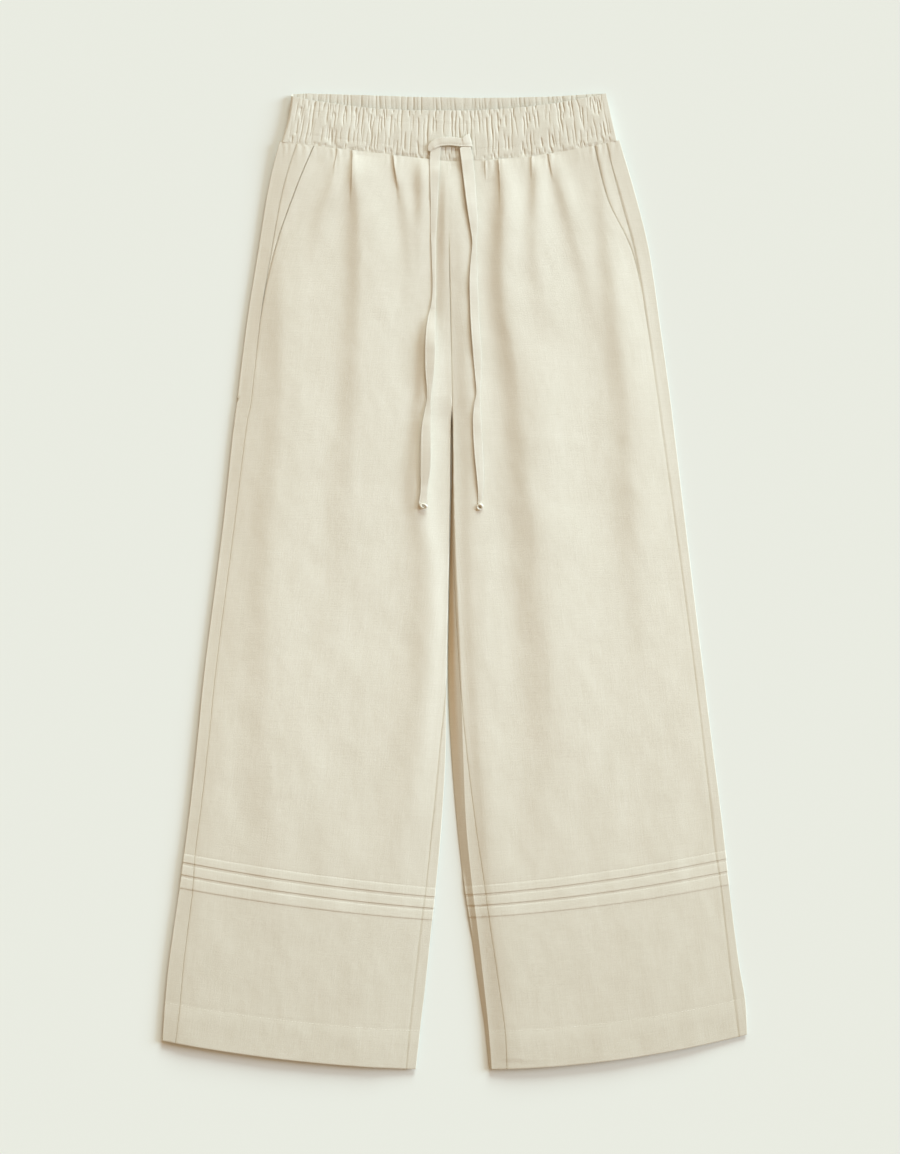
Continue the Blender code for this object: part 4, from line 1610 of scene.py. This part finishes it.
@dataclass
class Tape:
    """The flat linen tape of the tie, swept along its stops as a thin folded strip."""

    name: str
    stops: Table
    ground: Ground
    width: float = 10.5
    wall: float = 0.6
    rise: float = 0.05
    cup: float = 0.08
    crease: float = 0.16
    crease_place: float = 0.62
    crease_width: float = 0.13
    edge_power: float = 0.45
    face_power: float = 0.25
    grain_round: float = 2.2
    stations: int = 220
    ring: int = 28
    seed: int = 3

    def __post_init__(self) -> None:
        """Trace the middle line, with the tilt, gather and cup of each station."""
        noise = Noise(self.seed)
        places = np.linspace(0, len(self.stops) - 1, self.stations)
        read = [np.array([through(column, place) for place in places]) for column in zip(*self.stops)]
        x, y, tilt, self.gather, lift = read
        self.tilt = np.radians(tilt + 3 * noise.at(places * 1.7, 0))
        self.cups = self.cup * (0.4 + 0.9 * noise.at(places * 1.1, 5))
        half = self.gather * self.width / 2 * np.abs(np.sin(self.tilt)) + self.wall / 2
        reach = self.width * self.gather * 0.4
        sides = [(x + step * reach, y) for step in (-1, 0, 1)]
        ground = np.max([[self.ground.height(*place) for place in zip(*side)] for side in sides], axis=0)
        kernel = np.hanning(9) / np.hanning(9).sum()
        smooth = np.convolve(np.pad(ground, 4, mode="edge"), kernel, mode="valid")
        z = np.maximum(smooth, ground) + half * 0.92 + self.rise + lift
        self.middle = np.column_stack([x, y, z])

    def profile(self, gather: float, cup: float) -> Array:
        """Give the strip's cross-section.

        Args:
            gather: How much it is gathered.
            cup: How far its middle stands up.

        Returns:
            Points (across, up) around it.
        """
        angle = np.linspace(0, math.tau, self.ring, endpoint=False)
        flat = np.sign(np.cos(angle)) * np.abs(np.cos(angle)) ** self.edge_power
        thick = np.sign(np.sin(angle)) * np.abs(np.sin(angle)) ** self.face_power
        crease = self.crease * bell((flat - self.crease_place) / self.crease_width) * (thick > 0)
        up = thick * self.wall / 2 + cup * (1 - flat**2) - crease
        return np.column_stack([flat * self.width / 2 * gather, up])

    def grid(self) -> ClothGrid:
        """Sweep the cross-section along the middle line.

        Returns:
            The strip's grid.
        """
        forward = np.gradient(self.middle, axis=0)
        forward[:, 2] *= 0.3
        forward /= np.linalg.norm(forward, axis=1)[:, None]
        steps = np.linalg.norm(np.diff(self.middle, axis=0), axis=1)
        length = np.append(0.0, np.cumsum(steps))
        sizes = np.ones(self.stations)
        sizes[[0, 1, -2, -1]] = (0.0, 0.8, 0.8, 0.0)
        round_strip = np.arange(self.ring + 1) / self.ring * self.width * self.grain_round
        points, grain = [], []
        for k in range(self.stations):
            side = np.cross(forward[k], UP)
            side /= np.linalg.norm(side)
            lift = np.cross(side, forward[k])
            cos, sin = math.cos(self.tilt[k]), math.sin(self.tilt[k])
            axes = np.array([side * cos + lift * sin, lift * cos - side * sin])
            profile = self.profile(self.gather[k], self.cups[k] * cos) * sizes[k]
            points.append(self.middle[k] + profile @ axes)
            grain.append(np.column_stack([round_strip, np.full(self.ring + 1, length[k])]))
        return ClothGrid(self.name, np.stack(points), np.stack(grain), flip=True, round_columns=True)


def joined_mesh(grids: Sequence[ClothGrid], name: str) -> bpy.types.Mesh:
    """Join grids into one mesh, and close the ends of those that are swept.

    Args:
        grids: The grids.
        name: The mesh's name.

    Returns:
        The closed mesh.
    """
    joined = bmesh.new()
    for grid in grids:
        part = grid.mesh()
        joined.from_mesh(part)
        bpy.data.meshes.remove(part)
    bmesh.ops.remove_doubles(joined, verts=joined.verts, dist=0.01 * MM)
    bmesh.ops.recalc_face_normals(joined, faces=joined.faces)
    mesh = bpy.data.meshes.new(name)
    joined.to_mesh(mesh)
    joined.free()
    return mesh


@dataclass
class TipKnot:
    """The small knot at the end of a tail: a ring of tape wound round it."""

    centre: tuple[float, float, float]
    size: float
    tape: float
    turn: float
    flat: float
    rings: int = 28
    ring: int = 12

    def grid(self, name: str) -> ClothGrid:
        """Make the wound ring's grid.

        Args:
            name: The grid's name.

        Returns:
            The grid.
        """
        cos, sin = math.cos(self.turn), math.sin(self.turn)
        section = np.linspace(0, math.tau, self.ring + 1)
        points, grain = [], []
        for angle in np.linspace(0, math.tau, self.rings + 1):
            swell = self.tape * (1 + 0.22 * math.sin(2 * angle + 0.6))
            radius = self.size + swell * np.cos(section[:-1])
            x = radius * math.cos(angle)
            y = radius * math.sin(angle) * self.flat
            z = swell * np.sin(section[:-1]) + 0.5 * math.sin(angle + 1.0)
            points.append(np.column_stack([x * cos - y * sin, x * sin + y * cos, z]) + self.centre)
            grain.append(np.column_stack([section * self.tape, np.full(len(section), angle * self.size)]))
        sheet = (np.stack(points[:-1]), np.stack(grain))
        return ClothGrid(name, *sheet, flip=True, round_columns=True, round_rows=True)


@dataclass
class Tie:
    """The drawstring: two tails and the bar of the knot that they hang from."""

    ground: Ground
    dress: Dress

    def tail(self, side: Side, stops: Table, knot: TipKnot) -> None:
        """Build one tail with the small knot at its end.

        Args:
            side: Whose side it hangs on.
            stops: Its stops.
            knot: The knot, with its place from the tail's end.
        """
        name = f"drawstring_{side.value}_tail"
        tape = Tape(name, stops, self.ground, seed=3 + len(stops))
        wound = replace(knot, centre=tuple(tape.middle[-1] + knot.centre))
        mesh = joined_mesh([tape.grid(), wound.grid(name)], name)
        piece = self.dress.piece(name, mesh, f"drawstring_{side.value}")
        tape.width * MM

    def bar(self) -> None:
        """Build the bar of the knot."""
        name = "drawstring_knot_bar"
        look = {"width": 9.6, "wall": 0.8, "cup": 0.2, "rise": 0.6, "stations": 60, "ring": 36}
        tape = Tape(name, KNOT_BAR, self.ground, **look)
        self.dress.piece(name, joined_mesh([tape.grid()], name), "drawstring_knot")

    def build(self) -> None:
        """Build the tie."""
        right = TipKnot((0.2, -1.6, 0.3), size=2.9, tape=1.5, turn=-0.25, flat=0.62)
        left = TipKnot((0.1, -2.6, 0.5), size=2.5, tape=1.25, turn=0.4, flat=0.95)
        self.tail(Side.RIGHT, RIGHT_TAIL, right)
        self.tail(Side.LEFT, LEFT_TAIL, left)
        self.bar()


# Studio


@dataclass(frozen=True)
class Lamp:
    """A broad far lamp, which lights the whole table evenly."""

    name: str
    towards: tuple[float, float, float]
    spread_degrees: float
    energy: float
    colour: Colour

    def build(self) -> None:
        """Make the lamp."""
        data = bpy.data.lights.new(self.name, "SUN")
        data.energy = self.energy
        data.angle = math.radians(self.spread_degrees)
        data.color = self.colour
        lamp = add_object(self.name, data)
        lamp.location = self.towards
        lamp.rotation_mode = "QUATERNION"
        lamp.rotation_quaternion = (-lamp.location).to_track_quat("-Z", "Y")


@dataclass
class Studio:
    """Camera, soft lights, a pale floor and an even surround."""

    centre: Span = (-0.0052, 0.0046)
    view_height: float = 1.1886
    lens: float = 85.0
    sensor: float = 36.0
    floor_colour: Colour = (0.785, 0.795, 0.74)
    floor_size: float = 12.0
    sky_colour: Colour = (1.0, 0.72, 0.46)
    sky: float = 0.5
    lamps: tuple[Lamp, ...] = (
        Lamp("key", (2.5, 0.66, 1.0), 27.0, 3.57, (0.61, 0.805, 1.0)),
        Lamp("top", (0.9, 3.4, 1.25), 24.0, 3.57, (0.763, 0.947, 1.0)),
    )

    def camera(self) -> None:
        """Make the camera, straight above the middle of the picture."""
        data = bpy.data.cameras.new("camera")
        data.lens = self.lens
        data.sensor_width = self.sensor
        camera = add_object("camera", data)
        camera.location = (*self.centre, self.view_height * self.lens / self.sensor)
        bpy.context.scene.camera = camera

    def surround(self) -> None:
        """Make the surround."""
        world = bpy.data.worlds.new("surround")
        world.use_nodes = True
        back = world.node_tree.nodes["Background"]
        back.inputs["Color"].default_value = (*self.sky_colour, 1.0)
        back.inputs["Strength"].default_value = self.sky
        bpy.context.scene.world = world

    def floor(self) -> None:
        """Make the floor, which isn't part of the garment."""
        half = self.floor_size / 2
        mesh = bpy.data.meshes.new("floor")
        corners = [(-half, -half, 0), (half, -half, 0), (half, half, 0), (-half, half, 0)]
        mesh.from_pydata(corners, [], [(0, 1, 2, 3)])
        look = {"Base_Color": (*self.floor_colour, 1.0), "Roughness": 0.95, "Specular_IOR_Level": 0.1}
        mesh.materials.append(new_material("floor", **look)[0])
        add_object("floor", mesh)

    def build(self) -> None:
        """Set up the studio."""
        bpy.context.scene.view_settings.view_transform = "Standard"
        self.camera()
        for lamp in self.lamps:
            lamp.build()
        self.surround()
        self.floor()


def main() -> None:
    """Build the culottes piece by piece."""
    logging.basicConfig(level=logging.INFO, format="%(message)s")
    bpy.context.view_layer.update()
    Studio().build()
    linen, gathered, tape = (Dress(look.build(), look.name) for look in (LINEN, BAND, TAPE))
    drape = Drape()
    legs = (
        Leg(Side.RIGHT, RIGHT_LEG, drape, outer_reach=17, inner_reach=40, outer_under=1.2, inner_under=2.4),
        Leg(Side.LEFT, LEFT_LEG, drape, outer_reach=85, inner_reach=14, outer_under=2.6),
    )
    band = Waistband(legs, gathered)
    Tie(Ground(legs, band), tape).build()
    cloths = [LegCloth(leg, linen) for leg in legs]
    for cloth in cloths:
        cloth.build()
    band.build()
    stitches = Stitches(ThreadFinish().build())
    lines = [line for cloth in cloths for line in cloth.stitch_lines()]
    stitches.build("leg_stitches", linen.slot, lines)
    stitches.build("waistband_stitches", gathered.slot, band.stitch_lines())


if __name__ == "__main__":
    main()
